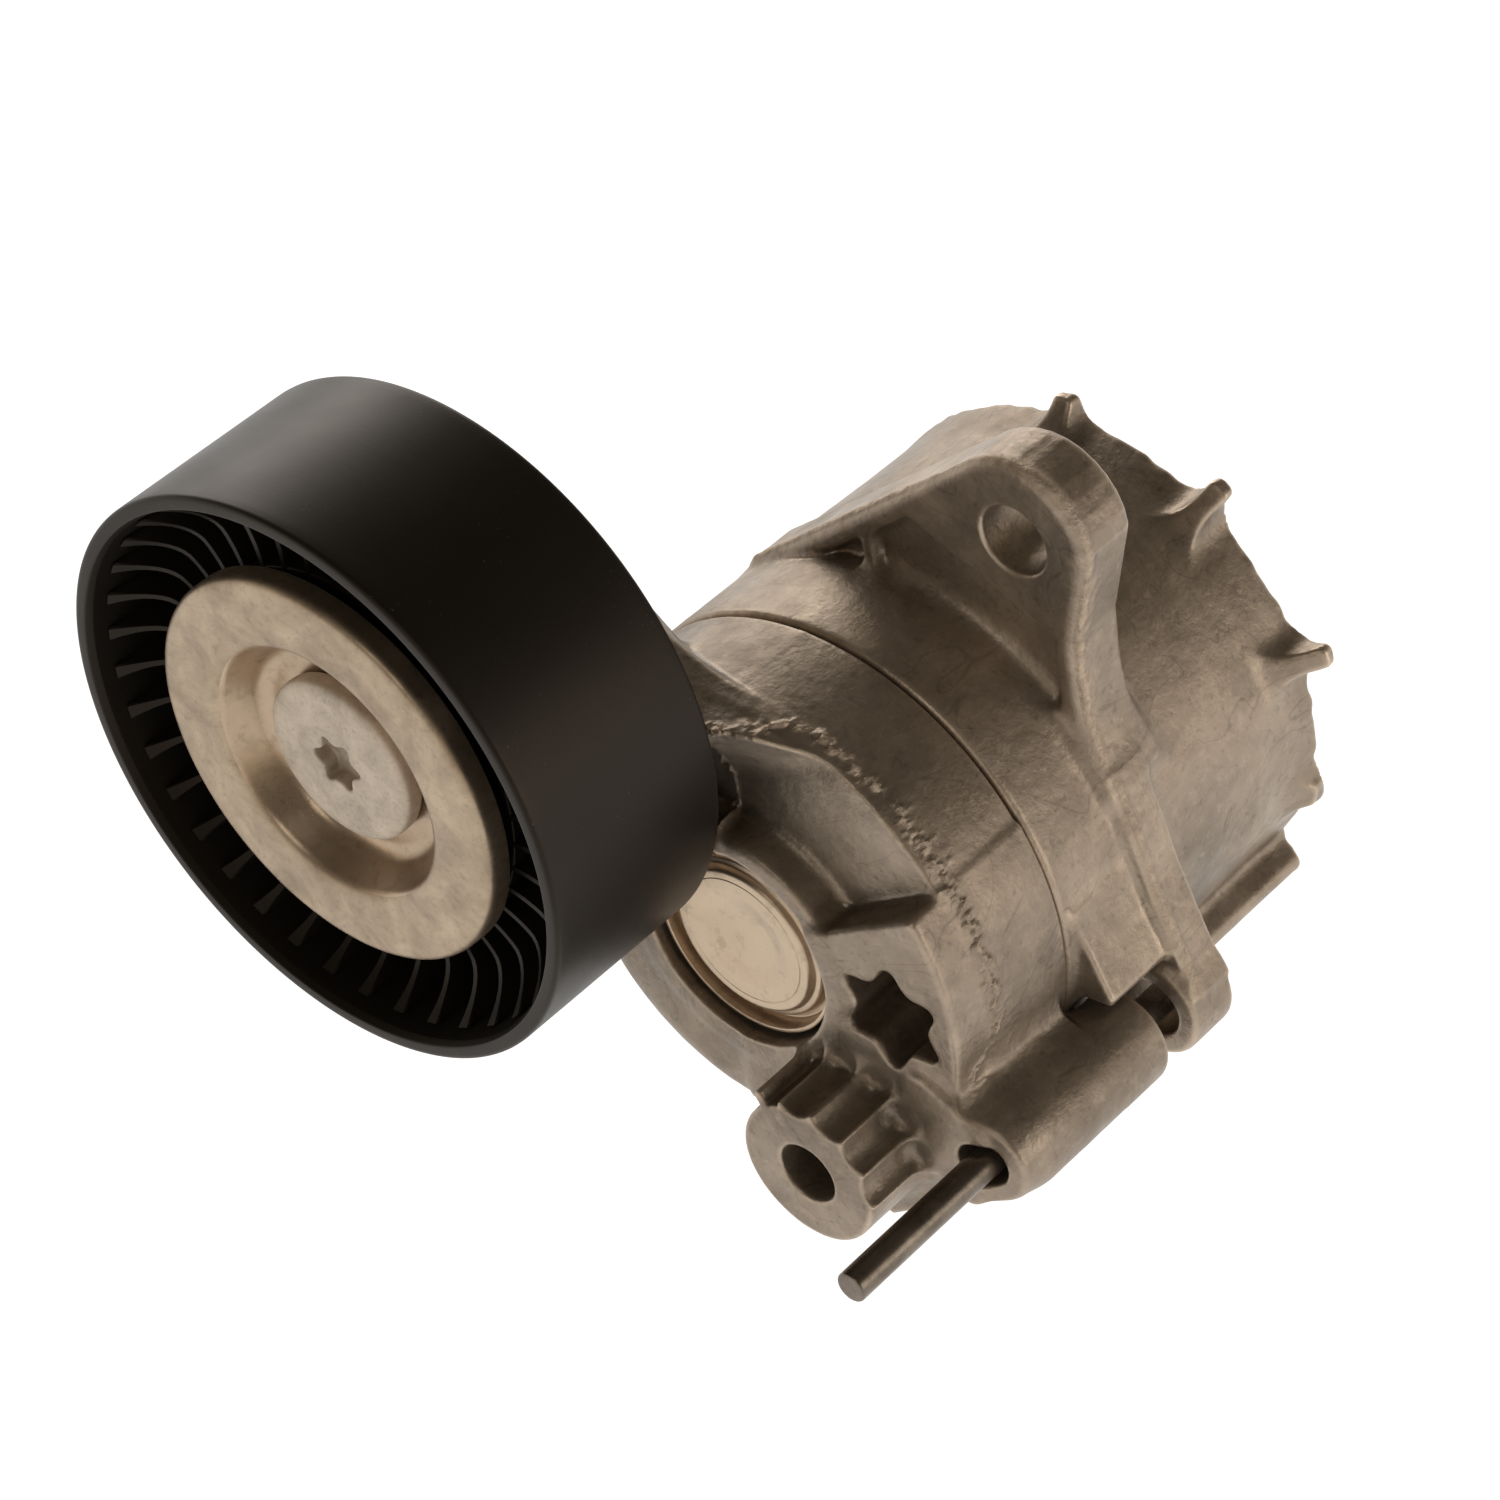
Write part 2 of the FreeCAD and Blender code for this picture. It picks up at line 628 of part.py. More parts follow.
def arm_neck():
    """Neck from the swing axis to the pulley, with the pulley's boss and the bearing spigot.

    The neck is widest at its front face and drafts in towards the back, where it also slopes
    away towards the pulley.
    """
    neck_back = seam - neck_rear
    front = [along_neck(neck_start, -neck_half - 3), along_neck(arm_reach, -neck_half - 1),
             along_neck(arm_reach, neck_half + 1), along_neck(arm_reach - 8, neck_half + 2),
             polar(arm_radius - 0.5, neck_root_front)]
    back = [along_neck(neck_start, -neck_half + 1), along_neck(arm_reach, -neck_half + 3),
            along_neck(arm_reach, neck_half - 1), along_neck(arm_reach - 10, neck_half - 2),
            polar(arm_radius - 0.6, neck_root_back)]
    plate = Part.makeLoft([neck_outline(front, arm_front), neck_outline(front, seam - neck_flank),
                           neck_outline(back, neck_back)], True, True)
    pocket_front = arm_front - 1
    pocket = prism([along_neck(ring_radius - 4, -neck_half + 1), along_neck(arm_reach - 10, -neck_half + neck_rim),
                    along_neck(arm_reach - 10, neck_half + 1 - neck_rim),
                    along_neck(arm_radius - 5, neck_half + 2 - neck_rim),
                    polar(arm_radius - neck_rim - 1.5, neck_root_front - 4)], pocket_front, arm_floor)
    pocket = pocket.cut(disc(PIVOT, ring_radius + ring_draft, pocket_front, arm_floor))
    pocket = pocket.cut(disc(PULLEY, pulley_boss_radius, pocket_front, arm_floor))
    plate = plate.cut(pocket)
    side = [(arm_reach - neck_slope_start, neck_back), (arm_reach + 20, neck_back - neck_slope_drop * 2.2),
            (arm_reach + 20, seam), (arm_reach - neck_slope_start, seam)]
    corners = [FreeCAD.Vector(r, y, -40) for r, y in side]
    slope = Part.Face(Part.makePolygon(corners + [corners[0]])).extrude(FreeCAD.Vector(0, 0, 80))
    slope.rotate(FreeCAD.Vector(0, 0, 0), AXIS, -arm_angle)
    plate = plate.cut(slope)
    shoulder = bearing_back + shield_thickness
    seat_radius = inner_race_radius + 0.3
    spigot_end = bearing_front + spigot_stop
    boss = turned(PULLEY, [
        (0, pulley_boss_back), (pulley_boss_radius - 1, pulley_boss_back),
        (pulley_boss_radius, pulley_boss_back - 1), (pulley_boss_radius, arm_front - 1.5),
        (seat_radius, shoulder + 1.2), (seat_radius, shoulder), (bearing_bore_radius, shoulder),
        (bearing_bore_radius, spigot_end + 0.6), (bearing_bore_radius - 0.6, spigot_end), (0, spigot_end),
    ])
    return fuse([plate, boss, neck_ramp()])


def neck_ramp():
    """Wedge on the lower step, rising along the arm's edge to the neck's rim."""
    foot = vec(polar(arm_radius - 0.2, neck_ramp_start), arm_floor)
    crest = vec(polar(arm_radius - 0.2, neck_root_front), arm_front)
    inner = vec(polar(arm_radius - neck_ramp_width, neck_root_front), arm_floor)
    along = (crest - foot).normalize()
    normal = (crest - foot).cross(inner - foot).normalize()
    if normal.y > 0:
        normal = -normal
    across = normal.cross(along)
    far = 2 * arm_radius
    turns = ((-1, -1), (1, -1), (1, 1), (-1, 1))
    corners = [foot + along * (far * i) + across * (far * j) for i, j in turns]
    above = Part.Face(Part.makePolygon(corners + [corners[0]])).extrude(normal * far)
    wedge = sector(arm_radius - 0.2, neck_ramp_start, neck_root_front + 3, arm_front, arm_floor + 1)
    return wedge.cut(disc(PIVOT, ring_radius + 1, arm_front - 1, arm_floor + 2)).cut(above)


def arm_casting():
    body = fuse([arm_disc(), arm_lobe(), tool_boss(), arm_neck()])
    chamber = turned(PIVOT, [
        (0, chamber_front), (arm_radius - arm_wall, chamber_front),
        (arm_radius - arm_wall, seam + 30), (0, seam + 30),
    ])
    hub = disc(PIVOT, hub_radius, chamber_front - 1, seam)
    star_pad = disc(STAR, star_pad_radius, chamber_front - 1, pad_back)
    chamber = chamber.cut(hub)
    chamber = chamber.cut(star_pad)
    body = body.cut(chamber)
    body = body.cut(disc(PIVOT, recess_radius, arm_front - 1, recess_floor))
    body = body.cut(disc(PIVOT, shaft_radius + running_clearance + bush_wall, recess_floor - 1, seam + 1))
    star_floor = arm_front + star_depth
    body = body.cut(star_prism(STAR, star_tip_radius, star_valley_radius, star_turn, arm_front - 1, star_floor))
    body = body.cut(disc(BOSS, boss_bore_radius, boss_front - 1, boss_front + boss_bore_depth))
    body = body.cut(disc(EYE, eye_hole_radius, arm_front - 1, seam + eye_tail + 1))
    thread = disc(PULLEY, bolt_radius, bearing_front - 5, cover_seat + bolt_length + 1)
    return body.cut(thread)


# ---- pulley and bearing ------------------------------------------------------------------------

def pulley_wheel():
    """Moulded wheel: rim, web, hub round the bearing and thin radial ribs on both sides."""
    inside = pulley_radius - rim_wall
    lip = pulley_radius - rim_lip
    hub = bearing_outer_radius + pulley_hub_wall
    rim = turned(PULLEY, [
        (lip, pulley_front), (pulley_radius - rim_edge, pulley_front), (pulley_radius, pulley_front + rim_edge),
        (pulley_radius, pulley_back - rim_edge), (pulley_radius - rim_edge, pulley_back), (lip, pulley_back),
        (inside, bearing_mid + 4), (inside, bearing_mid - 4),
    ])
    half_web = web_thickness / 2
    web = tube(PULLEY, inside + 0.5, hub - 0.5, bearing_mid - half_web, bearing_mid + half_web)
    core = turned(PULLEY, [
        (bearing_outer_radius, bearing_front), (bearing_outer_radius, bearing_back),
        (bearing_outer_radius - 0.8, bearing_back), (bearing_outer_radius - 0.8, bearing_back + 0.8),
        (hub, bearing_back + 0.8), (hub + 0.6, bearing_mid), (hub, bearing_front - 0.8),
        (bearing_outer_radius - 0.8, bearing_front - 0.8), (bearing_outer_radius - 0.8, bearing_front),
    ])
    shapes = [rim, web, core]
    r0 = hub - 0.8
    r1 = inside + 0.6
    front = pulley_front + rib_front_drop
    back = pulley_back - rib_front_drop
    middle = (r0 + r1) / 2
    for i in range(rib_count):
        edges = [
            Part.Arc(FreeCAD.Vector(r0, front, 0), FreeCAD.Vector(middle, front + rib_sag, 0),
                     FreeCAD.Vector(r1, front, 0)).toShape(),
            Part.LineSegment(FreeCAD.Vector(r1, front, 0), FreeCAD.Vector(r1, back, 0)).toShape(),
            Part.Arc(FreeCAD.Vector(r1, back, 0), FreeCAD.Vector(middle, back - rib_sag, 0),
                     FreeCAD.Vector(r0, back, 0)).toShape(),
            Part.LineSegment(FreeCAD.Vector(r0, back, 0), FreeCAD.Vector(r0, front, 0)).toShape(),
        ]
        rib = Part.Face(Part.Wire(edges)).extrude(FreeCAD.Vector(0, 0, rib_thickness))
        rib.translate(FreeCAD.Vector(0, 0, -rib_thickness / 2))
        rib.rotate(FreeCAD.Vector(0, 0, 0), AXIS, i * 360.0 / rib_count)
        rib.translate(vec(PULLEY))
        shapes.append(rib)
    return fuse(shapes)


def race_groove():
    """Ring-shaped space swept by the balls, with their clearance."""
    return Part.makeTorus(bearing_pitch_radius, ball_radius + ball_clearance, vec(PULLEY, bearing_mid), AXIS)


def bearing_inner_ring():
    ring = tube(PULLEY, inner_race_radius, bearing_bore_radius, bearing_front, bearing_back)
    return ring.cut(race_groove())


def bearing_outer_ring():
    ring = tube(PULLEY, bearing_outer_radius, outer_race_radius, bearing_front, bearing_back)
    return ring.cut(race_groove())


def ball_places():
    for i in range(ball_count):
        x, z = polar(bearing_pitch_radius, i * 360.0 / ball_count)
        yield vec((PULLEY[0] + x, PULLEY[1] + z), bearing_mid)


def bearing_balls():
    return Part.makeCompound([Part.makeSphere(ball_radius, place) for place in ball_places()])


def bearing_cage():
    cage = tube(PULLEY, bearing_pitch_radius + cage_thickness / 2, bearing_pitch_radius - cage_thickness / 2,
                bearing_mid - cage_half_width, bearing_mid + cage_half_width)
    for i in range(ball_count):
        inner = polar(inner_race_radius, i * 360.0 / ball_count)
        outer = polar(outer_race_radius, i * 360.0 / ball_count)
        start = vec((PULLEY[0] + inner[0], PULLEY[1] + inner[1]), bearing_mid)
        along = vec((outer[0] - inner[0], outer[1] - inner[1]))
        pocket = Part.makeCylinder(ball_radius + ball_clearance, along.Length, start, along)
        cage = cage.cut(pocket)
    return cage


def bearing_seal(y0):
    inner = inner_race_radius + 0.3
    return tube(PULLEY, outer_race_radius, inner, y0, y0 + seal_thickness)


def rear_shield():
    """Dust shield clamped between the arm's boss and the bearing's inner ring."""
    back = bearing_back + shield_thickness
    return turned(PULLEY, [
        (bearing_bore_radius, bearing_back), (inner_race_radius + 0.2, bearing_back),
        (inner_race_radius + 1.0, bearing_back + 1.2), (shield_radius - 1, bearing_back + 1.2),
        (shield_radius, bearing_back + 2.2), (shield_radius, bearing_back + 2.2 + shield_thickness * 0.5),
        (shield_radius - 1.4, bearing_back + 1.2 + shield_thickness),
        (inner_race_radius + 0.6, bearing_back + 1.2 + shield_thickness),
        (inner_race_radius + 0.3, back), (bearing_bore_radius, back),
    ])


def dust_cover():
    """Stamped cover clamped under the bolt: dished seat, flat annulus and rolled edge."""
    t = cover_thickness
    front = cover_seat - cover_front + t
    seat = cover_seat
    return turned(PULLEY, [
        (bolt_radius + 0.25, seat), (cover_seat_radius - 1.2, seat), (cover_seat_radius, seat - 1.0),
        (cover_lip_radius - 0.6, front + 0.6), (cover_lip_radius + 0.1, front),
        (cover_radius - 1.5, front), (cover_radius - 0.45, front + 0.5), (cover_radius, front + 1.4),
        (cover_radius, front + cover_skirt), (cover_radius - t, front + cover_skirt),
        (cover_radius - t, front + 1.6), (cover_radius - 1.6, front + t), (cover_lip_radius + 1.1, front + t),
        (cover_lip_radius + 0.4, front + t + 0.4), (cover_seat_radius + 0.9, seat + t - 1.0),
        (cover_seat_radius - 0.8, seat + t), (bolt_radius + 0.25, seat + t),
    ])


def pulley_bolt():
    """Low-head bolt with a six-lobe recess."""
    front = cover_seat - bolt_head_height
    body = turned(PULLEY, [
        (0, front), (bolt_head_radius - 1.6, front), (bolt_head_radius - 0.5, front + 0.5),
        (bolt_head_radius, front + 1.4), (bolt_head_radius, cover_seat), (bolt_radius, cover_seat),
        (bolt_radius, cover_seat + bolt_length - 1), (bolt_radius - 1, cover_seat + bolt_length),
        (0, cover_seat + bolt_length),
    ])
    floor = front + bolt_recess_depth
    recess = star_prism(PULLEY, bolt_recess_tip, bolt_recess_valley, bolt_turn, front - 1, floor)
    return body.cut(recess)


def lock_pin():
    front = seam - pin_front
    back = lug_y + pin_bite
    return turned(EYE, [
        (0, front), (pin_radius - pin_chamfer, front), (pin_radius, front + pin_chamfer),
        (pin_radius, back - pin_chamfer), (pin_radius - pin_chamfer, back), (0, back),
    ])


def main():
    os.makedirs("parts", exist_ok=True)
    nodes = {
        "base_housing": base_housing(),
        "housing_pin_lug": housing_pin_lug(),
        "pivot_shaft": pivot_shaft(),
        "retaining_plate": retaining_plate(),
        "front_cap": front_cap(),
        "thrust_washer": thrust_washer(),
        "friction_liner": friction_liner(),
        "spring_seat": spring_seat(),
        "torsion_spring": torsion_spring(),
        "arm_casting": arm_casting(),
        "pivot_bush": pivot_bush(),
        "friction_disc": friction_disc(),
        "damper_sleeve": damper_sleeve(),
        "pulley_bolt": pulley_bolt(),
        "dust_cover": dust_cover(),
        "rear_shield": rear_shield(),
        "bearing_inner_ring": bearing_inner_ring(),
        "pulley_wheel": pulley_wheel(),
        "bearing_outer_ring": bearing_outer_ring(),
        "bearing_balls": bearing_balls(),
        "bearing_cage": bearing_cage(),
        "bearing_seal_front": bearing_seal(bearing_front + seal_inset),
        "bearing_seal_rear": bearing_seal(bearing_back - seal_inset - seal_thickness),
        "lock_pin": lock_pin(),
    }
    for name, shape in nodes.items():
        if not shape.isValid():
            raise RuntimeError(name + " is not a valid shape")
        print(name, len(shape.Solids), "solids", round(shape.Volume, 1), "mm3")
        shape.exportStep("parts/" + name + ".step")


main()
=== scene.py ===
"""Looks of the belt tensioner idler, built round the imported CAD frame.

The two castings are modelled as signed distance fields in millimetres, so that every joint between
features gets a cast fillet, and are meshed with surface nets. Turned parts are lathed. Everything
is in the row frame: the swing axis is the Y axis and -Y is the front.
"""
import json
import math
import bmesh

import bpy
import numpy as np
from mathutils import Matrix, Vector


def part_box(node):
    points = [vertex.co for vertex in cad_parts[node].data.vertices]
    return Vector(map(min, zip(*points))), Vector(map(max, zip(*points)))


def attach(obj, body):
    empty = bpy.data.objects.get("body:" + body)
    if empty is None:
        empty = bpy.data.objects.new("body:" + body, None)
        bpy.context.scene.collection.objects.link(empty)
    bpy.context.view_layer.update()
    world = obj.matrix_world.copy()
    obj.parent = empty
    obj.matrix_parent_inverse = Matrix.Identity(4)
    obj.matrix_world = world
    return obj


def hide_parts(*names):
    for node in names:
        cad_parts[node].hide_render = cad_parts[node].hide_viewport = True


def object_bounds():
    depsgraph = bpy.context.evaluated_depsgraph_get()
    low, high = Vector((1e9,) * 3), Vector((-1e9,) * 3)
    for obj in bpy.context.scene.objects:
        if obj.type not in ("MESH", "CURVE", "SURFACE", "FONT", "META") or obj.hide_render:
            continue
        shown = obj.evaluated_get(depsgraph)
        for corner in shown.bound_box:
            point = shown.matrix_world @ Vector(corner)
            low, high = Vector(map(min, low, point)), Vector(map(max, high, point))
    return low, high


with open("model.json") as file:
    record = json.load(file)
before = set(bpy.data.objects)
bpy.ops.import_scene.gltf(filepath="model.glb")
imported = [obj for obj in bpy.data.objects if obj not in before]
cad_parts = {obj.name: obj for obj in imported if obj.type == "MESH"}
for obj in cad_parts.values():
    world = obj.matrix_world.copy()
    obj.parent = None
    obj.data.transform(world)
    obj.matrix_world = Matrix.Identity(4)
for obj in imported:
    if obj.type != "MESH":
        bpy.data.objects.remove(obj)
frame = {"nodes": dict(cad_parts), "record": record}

CAD_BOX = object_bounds()
MM = 0.001
scene = bpy.context.scene
scene.view_settings.view_transform = "Standard"
F = np.float32


# ---- camera ------------------------------------------------------------------------------------

def make_camera(azimuth, elevation, place, lens):
    a, e = math.radians(azimuth), math.radians(elevation)
    look = Vector((-math.sin(a) * math.cos(e), math.cos(a) * math.cos(e), -math.sin(e)))
    data = bpy.data.cameras.new("camera")
    data.lens = lens
    data.sensor_width = 36.0
    data.clip_start = 0.01
    data.clip_end = 50.0
    cam = bpy.data.objects.new("camera", data)
    cam.rotation_mode = "QUATERNION"
    cam.rotation_quaternion = look.to_track_quat("-Z", "Y")
    cam.location = place
    scene.collection.objects.link(cam)
    scene.camera = cam


make_camera(40.26, 44.32, (0.2383, -0.3442, 0.3882), 117.52)


# ---- places, in millimetres, from the CAD frame ------------------------------------------------

def box_mm(node):
    lo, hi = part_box(node)
    return np.array(lo) / MM, np.array(hi) / MM


def centre_xz(node):
    lo, hi = box_mm(node)
    return ((lo[0] + hi[0]) / 2, (lo[2] + hi[2]) / 2)


def polar(r, angle):
    a = math.radians(angle)
    return (r * math.cos(a), r * math.sin(a))


SEAM = box_mm("base_housing")[0][1]
ARM_BACK = SEAM - 0.3
ARM_FRONT = SEAM - 18.7
ARM_FLOOR = ARM_FRONT + 4.7
ARM_R = 30.85
HOUSE_R = 31.3
PULLEY = centre_xz("pulley_wheel")
PULLEY_FRONT = box_mm("pulley_wheel")[0][1]
PULLEY_BACK = box_mm("pulley_wheel")[1][1]
EYE = centre_xz("lock_pin")
STAR = polar(22.0, 9.1)
BOSS = polar(24.15, -41.5)
BOSS_FRONT = ARM_FRONT - 9.5
BEARING_FRONT = box_mm("bearing_outer_ring")[0][1]
BEARING_BACK = box_mm("bearing_outer_ring")[1][1]
COVER_SEAT = BEARING_FRONT - 0.9


# ---- signed distance helpers -------------------------------------------------------------------

def smin(a, b, k):
    h = np.maximum(k - np.abs(a - b), 0) / k
    return np.minimum(a, b) - h * h * k * 0.25


def smax(a, b, k):
    return -smin(-a, -b, k)


def poly(x, z, points):
    """Signed distance to a closed polygon in the X-Z plane."""
    best = None
    sign = None
    for (ax, az), (bx, bz) in zip(points, points[-1:] + points[:-1]):
        ex, ez = bx - ax, bz - az
        wx, wz = x - ax, z - az
        t = np.clip((wx * ex + wz * ez) / (ex * ex + ez * ez), 0, 1)
        d = (wx - ex * t) ** 2 + (wz - ez * t) ** 2
        c1, c2, c3 = wz >= 0, z < bz, ex * wz > ez * wx
        flip = np.where((c1 & c2 & c3) | ~(c1 | c2 | c3), -1.0, 1.0)
        best = d if best is None else np.minimum(best, d)
        sign = flip if sign is None else sign * flip
    return (sign * np.sqrt(best)).astype(F)


def arc(centre, r, a0, a1, n=10):
    """Points on an arc from angle a0 to a1."""
    out = []
    for i in range(n + 1):
        x, z = polar(r, a0 + (a1 - a0) * i / n)
        out.append((centre[0] + x, centre[1] + z))
    return out


def slab(d2, y, y0, y1, k):
    """A 2D shape extruded along Y, its edges rounded."""
    return smax(d2, np.maximum(y0 - y, y - y1), k)


def round_bar(x, y, z, c, r, y0, y1, k=0.8):
    return slab(np.hypot(x - c[0], z - c[1]) - r, y, y0, y1, k)


def strut(x, z, a, b, half):
    """Distance to a straight bar with round ends in the X-Z plane."""
    ex, ez = b[0] - a[0], b[1] - a[1]
    wx, wz = x - a[0], z - a[1]
    t = np.clip((wx * ex + wz * ez) / (ex * ex + ez * ez), 0, 1)
    return np.hypot(wx - ex * t, wz - ez * t) - half


def wedge(x, z, a0, a1):
    """Distance-like value of a sector about the swing axis, under 180 degrees; negative inside."""
    n0, n1 = math.radians(a0), math.radians(a1)
    low = x * math.sin(n0) - z * math.cos(n0)
    high = -x * math.sin(n1) + z * math.cos(n1)
    return np.maximum(low, high)


def half_space(x, y, z, a, b, c, out):
    """Distance above the plane through three points, on the side that out points to."""
    a, b, c = np.array(a), np.array(b), np.array(c)
    n = np.cross(b - a, c - a)
    n = n / np.linalg.norm(n)
    if n @ np.array(out) < 0:
        n = -n
    return (x - a[0]) * n[0] + (y - a[1]) * n[1] + (z - a[2]) * n[2]


def step(t):
    t = np.clip(t, 0, 1)
    return t * t * (3 - 2 * t)


def noise3(p, size, seed):
    """Smooth value noise in -1..1 for points in millimetres."""
    q = p / size
    base = np.floor(q).astype(np.int64)
    f = q - base
    f = f * f * (3 - 2 * f)
    total = np.zeros(len(p))
    for corner in range(8):
        o = np.array([corner & 1, corner >> 1 & 1, corner >> 2 & 1])
        c = base + o
        h = c[:, 0] * 374761393 + c[:, 1] * 668265263 + c[:, 2] * 2147483647 + seed * 1274126177
        h = h & 0xFFFFFFFF
        h = ((h ^ (h >> 13)) * 1274126177) & 0xFFFFFFFF
        h = h ^ (h >> 16)
        w = np.prod(np.where(o, f, 1 - f), axis=1)
        total += w * (h / 2147483648.0 - 1.0)
    return total


def surface_nets(f, origin, h):
    """Vertices and quads of the zero surface of a grid of distances."""
    inside = f < 0
    cells = np.zeros(tuple(n - 1 for n in f.shape), np.int8)
    corners = [(i, j, k) for i in (0, 1) for j in (0, 1) for k in (0, 1)]
    for i, j, k in corners:
        cells += inside[i:i + cells.shape[0], j:j + cells.shape[1], k:k + cells.shape[2]]
    active = np.argwhere((cells > 0) & (cells < 8))
    index = np.full(cells.shape, -1, np.int32)
    index[tuple(active.T)] = np.arange(len(active))
    value = {}
    for c in corners:
        value[c] = f[active[:, 0] + c[0], active[:, 1] + c[1], active[:, 2] + c[2]]
    total = np.zeros((len(active), 3))
    count = np.zeros(len(active))
    for a in corners:
        for axis in range(3):
            if a[axis]:
                continue
            b = tuple(1 if n == axis else a[n] for n in range(3))
            cross = (value[a] < 0) != (value[b] < 0)
            t = np.where(cross, value[a] / np.where(cross, value[a] - value[b], 1), 0)
            point = np.array(a, float) + t[:, None] * (np.array(b) - np.array(a))
            total += np.where(cross[:, None], point, 0)
            count += cross
    verts = (active + total / count[:, None]) * h + origin
    quads = []
    for axis in range(3):
        u, v = (axis + 1) % 3, (axis + 2) % 3
        lo = [slice(None)] * 3
        hi = [slice(None)] * 3
        lo[axis], hi[axis] = slice(None, -1), slice(1, None)
        a, b = inside[tuple(lo)], inside[tuple(hi)]
        edges = np.argwhere(a != b)
        edges = edges[(edges[:, u] > 0) & (edges[:, v] > 0)]
        edges = edges[(edges[:, u] < f.shape[u] - 1) & (edges[:, v] < f.shape[v] - 1)]
        out = a[tuple(edges.T)]
        ring = []
        for du, dv in ((1, 1), (0, 1), (0, 0), (1, 0)):
            c = edges.copy()
            c[:, u] -= du
            c[:, v] -= dv
            ring.append(index[tuple(c.T)])
        ring = np.stack(ring, 1)
        ring[~out] = ring[~out][:, ::-1]
        quads.append(ring)
    return verts, np.concatenate(quads)


def field_mesh(name, field, lo, hi, h, rough):
    """Meshes a distance field, puts its vertices on the surface and adds the casting's waviness.

    The point attribute 'edge' is positive on convex edges and negative in corners.
    """
    axes = [np.arange(a - 1.5 * h, b + 2.5 * h, h).astype(F) for a, b in zip(lo, hi)]
    x, y, z = axes[0][:, None, None], axes[1][None, :, None], axes[2][None, None, :]
    grid = np.broadcast_to(field(x, y, z), tuple(len(a) for a in axes)).astype(F)
    verts, quads = surface_nets(grid, np.array([a[0] for a in axes], float), h)

    def at(p):
        p = p.astype(F)
        return field(p[:, 0], p[:, 1], p[:, 2]).astype(float)

    def gradient(p, e):
        g = [at(p + np.eye(3)[i] * e) - at(p - np.eye(3)[i] * e) for i in range(3)]
        return np.stack(g, 1) / (2 * e)

    for _ in range(2):
        g = gradient(verts, 0.08)
        move = at(verts)[:, None] * g / np.maximum((g * g).sum(1), 0.05)[:, None]
        size = np.linalg.norm(move, axis=1, keepdims=True)
        verts = verts - move * np.minimum(1, 0.5 * h / np.maximum(size, 1e-9))
    g = gradient(verts, 0.15)
    n = g / np.maximum(np.linalg.norm(g, axis=1, keepdims=True), 1e-6)
    t1 = np.cross(n, np.array([0.577, 0.577, 0.577]))
    t1 /= np.maximum(np.linalg.norm(t1, axis=1, keepdims=True), 1e-6)
    t2 = np.cross(n, t1)
    d = 0.9
    bend = (at(verts + t1 * d) + at(verts - t1 * d) + at(verts + t2 * d) + at(verts - t2 * d)) / 4
    push, flash = rough(verts, n)
    verts = np.clip(verts + n * push[:, None], lo, hi)
    mesh = bpy.data.meshes.new(name)
    mesh.vertices.add(len(verts))
    mesh.vertices.foreach_set("co", (verts * MM).astype(F).ravel())
    mesh.loops.add(len(quads) * 4)
    mesh.loops.foreach_set("vertex_index", quads.astype(np.int32).ravel())
    mesh.polygons.add(len(quads))
    mesh.polygons.foreach_set("loop_start", np.arange(0, len(quads) * 4, 4, dtype=np.int32))
    mesh.update(calc_edges=True)
    mesh.validate()
    mesh.shade_smooth()
    edge = mesh.attributes.new("edge", "FLOAT", "POINT")
    edge.data.foreach_set("value", np.clip(bend * 1.6, -1, 1).astype(F))
    line = mesh.attributes.new("flash", "FLOAT", "POINT")
    line.data.foreach_set("value", np.clip(flash, 0, 1).astype(F))
    obj = bpy.data.objects.new(name, mesh)
    scene.collection.objects.link(obj)
    return obj


# ---- housing casting ---------------------------------------------------------------------------

EAR = polar(HOUSE_R + 15.8, 74.9)
EAR_Y = SEAM + 11.7
EAR_T = 8.6
LUG_Y = SEAM + 10.5
FIT_R = HOUSE_R - 3.7


def ear_points(inset):
    """Outline of the upper ear, moved in by an inset."""
    tip = 9.6 - inset
    edge = HOUSE_R + 1.5 - inset
    reach = math.hypot(*EAR)
    normal = 74.9 + math.degrees(math.acos((edge - tip) / reach))
    waist = (EAR[0] + 8.2 - inset, EAR[1] - 7.0)
    foot = polar(HOUSE_R + 0.3 - inset, 33.0)
    bend = (waist[0] + 1.9, waist[1] + (foot[1] - waist[1]) * 0.55)
    points = [(0.0, 0.0), polar(HOUSE_R - 0.8 - inset, normal + 16), polar(edge - 0.7, normal + 3)]
    points += arc(EAR, tip, normal, 14)
    for i in range(1, 9):
        t = i / 9
        points.append(tuple(
            (1 - t) ** 2 * w + 2 * t * (1 - t) * (2 * b - (w + f) / 2) + t * t * f
            for w, b, f in zip(waist, bend, foot)))
    return points + [foot]


EAR_OUT = ear_points(0.0)
EAR_IN = ear_points(2.7)
WEB = [(0.0, 0.0), polar(HOUSE_R - 1, 48), polar(HOUSE_R + 1.0, 36), polar(HOUSE_R + 1.3, 24),
       polar(HOUSE_R + 2.2, 12), (EYE[0] + 4.9, EYE[1] + 3.9), EYE, (EYE[0] - 1.1, EYE[1] - 6.2),
       polar(HOUSE_R - 1, -34)]


def ear_field(x, y, z):
    outline = poly(x, z, EAR_OUT)
    body = slab(outline, y, EAR_Y, EAR_Y + EAR_T, 1.6)
    pocket = poly(x, z, EAR_IN)
    ex, ez = polar(1.0, 74.9)
    pocket = smax(pocket, x * ex + z * ez - 38.5, 0.8)
    rib = strut(x, z, polar(20, 102.4), polar(60, 102.4), 1.0)
    pocket = smax(pocket, -rib, 1.2)
    return smax(body, -slab(pocket, y, EAR_Y - 4, EAR_Y + 1.5, 1.0), 1.0)


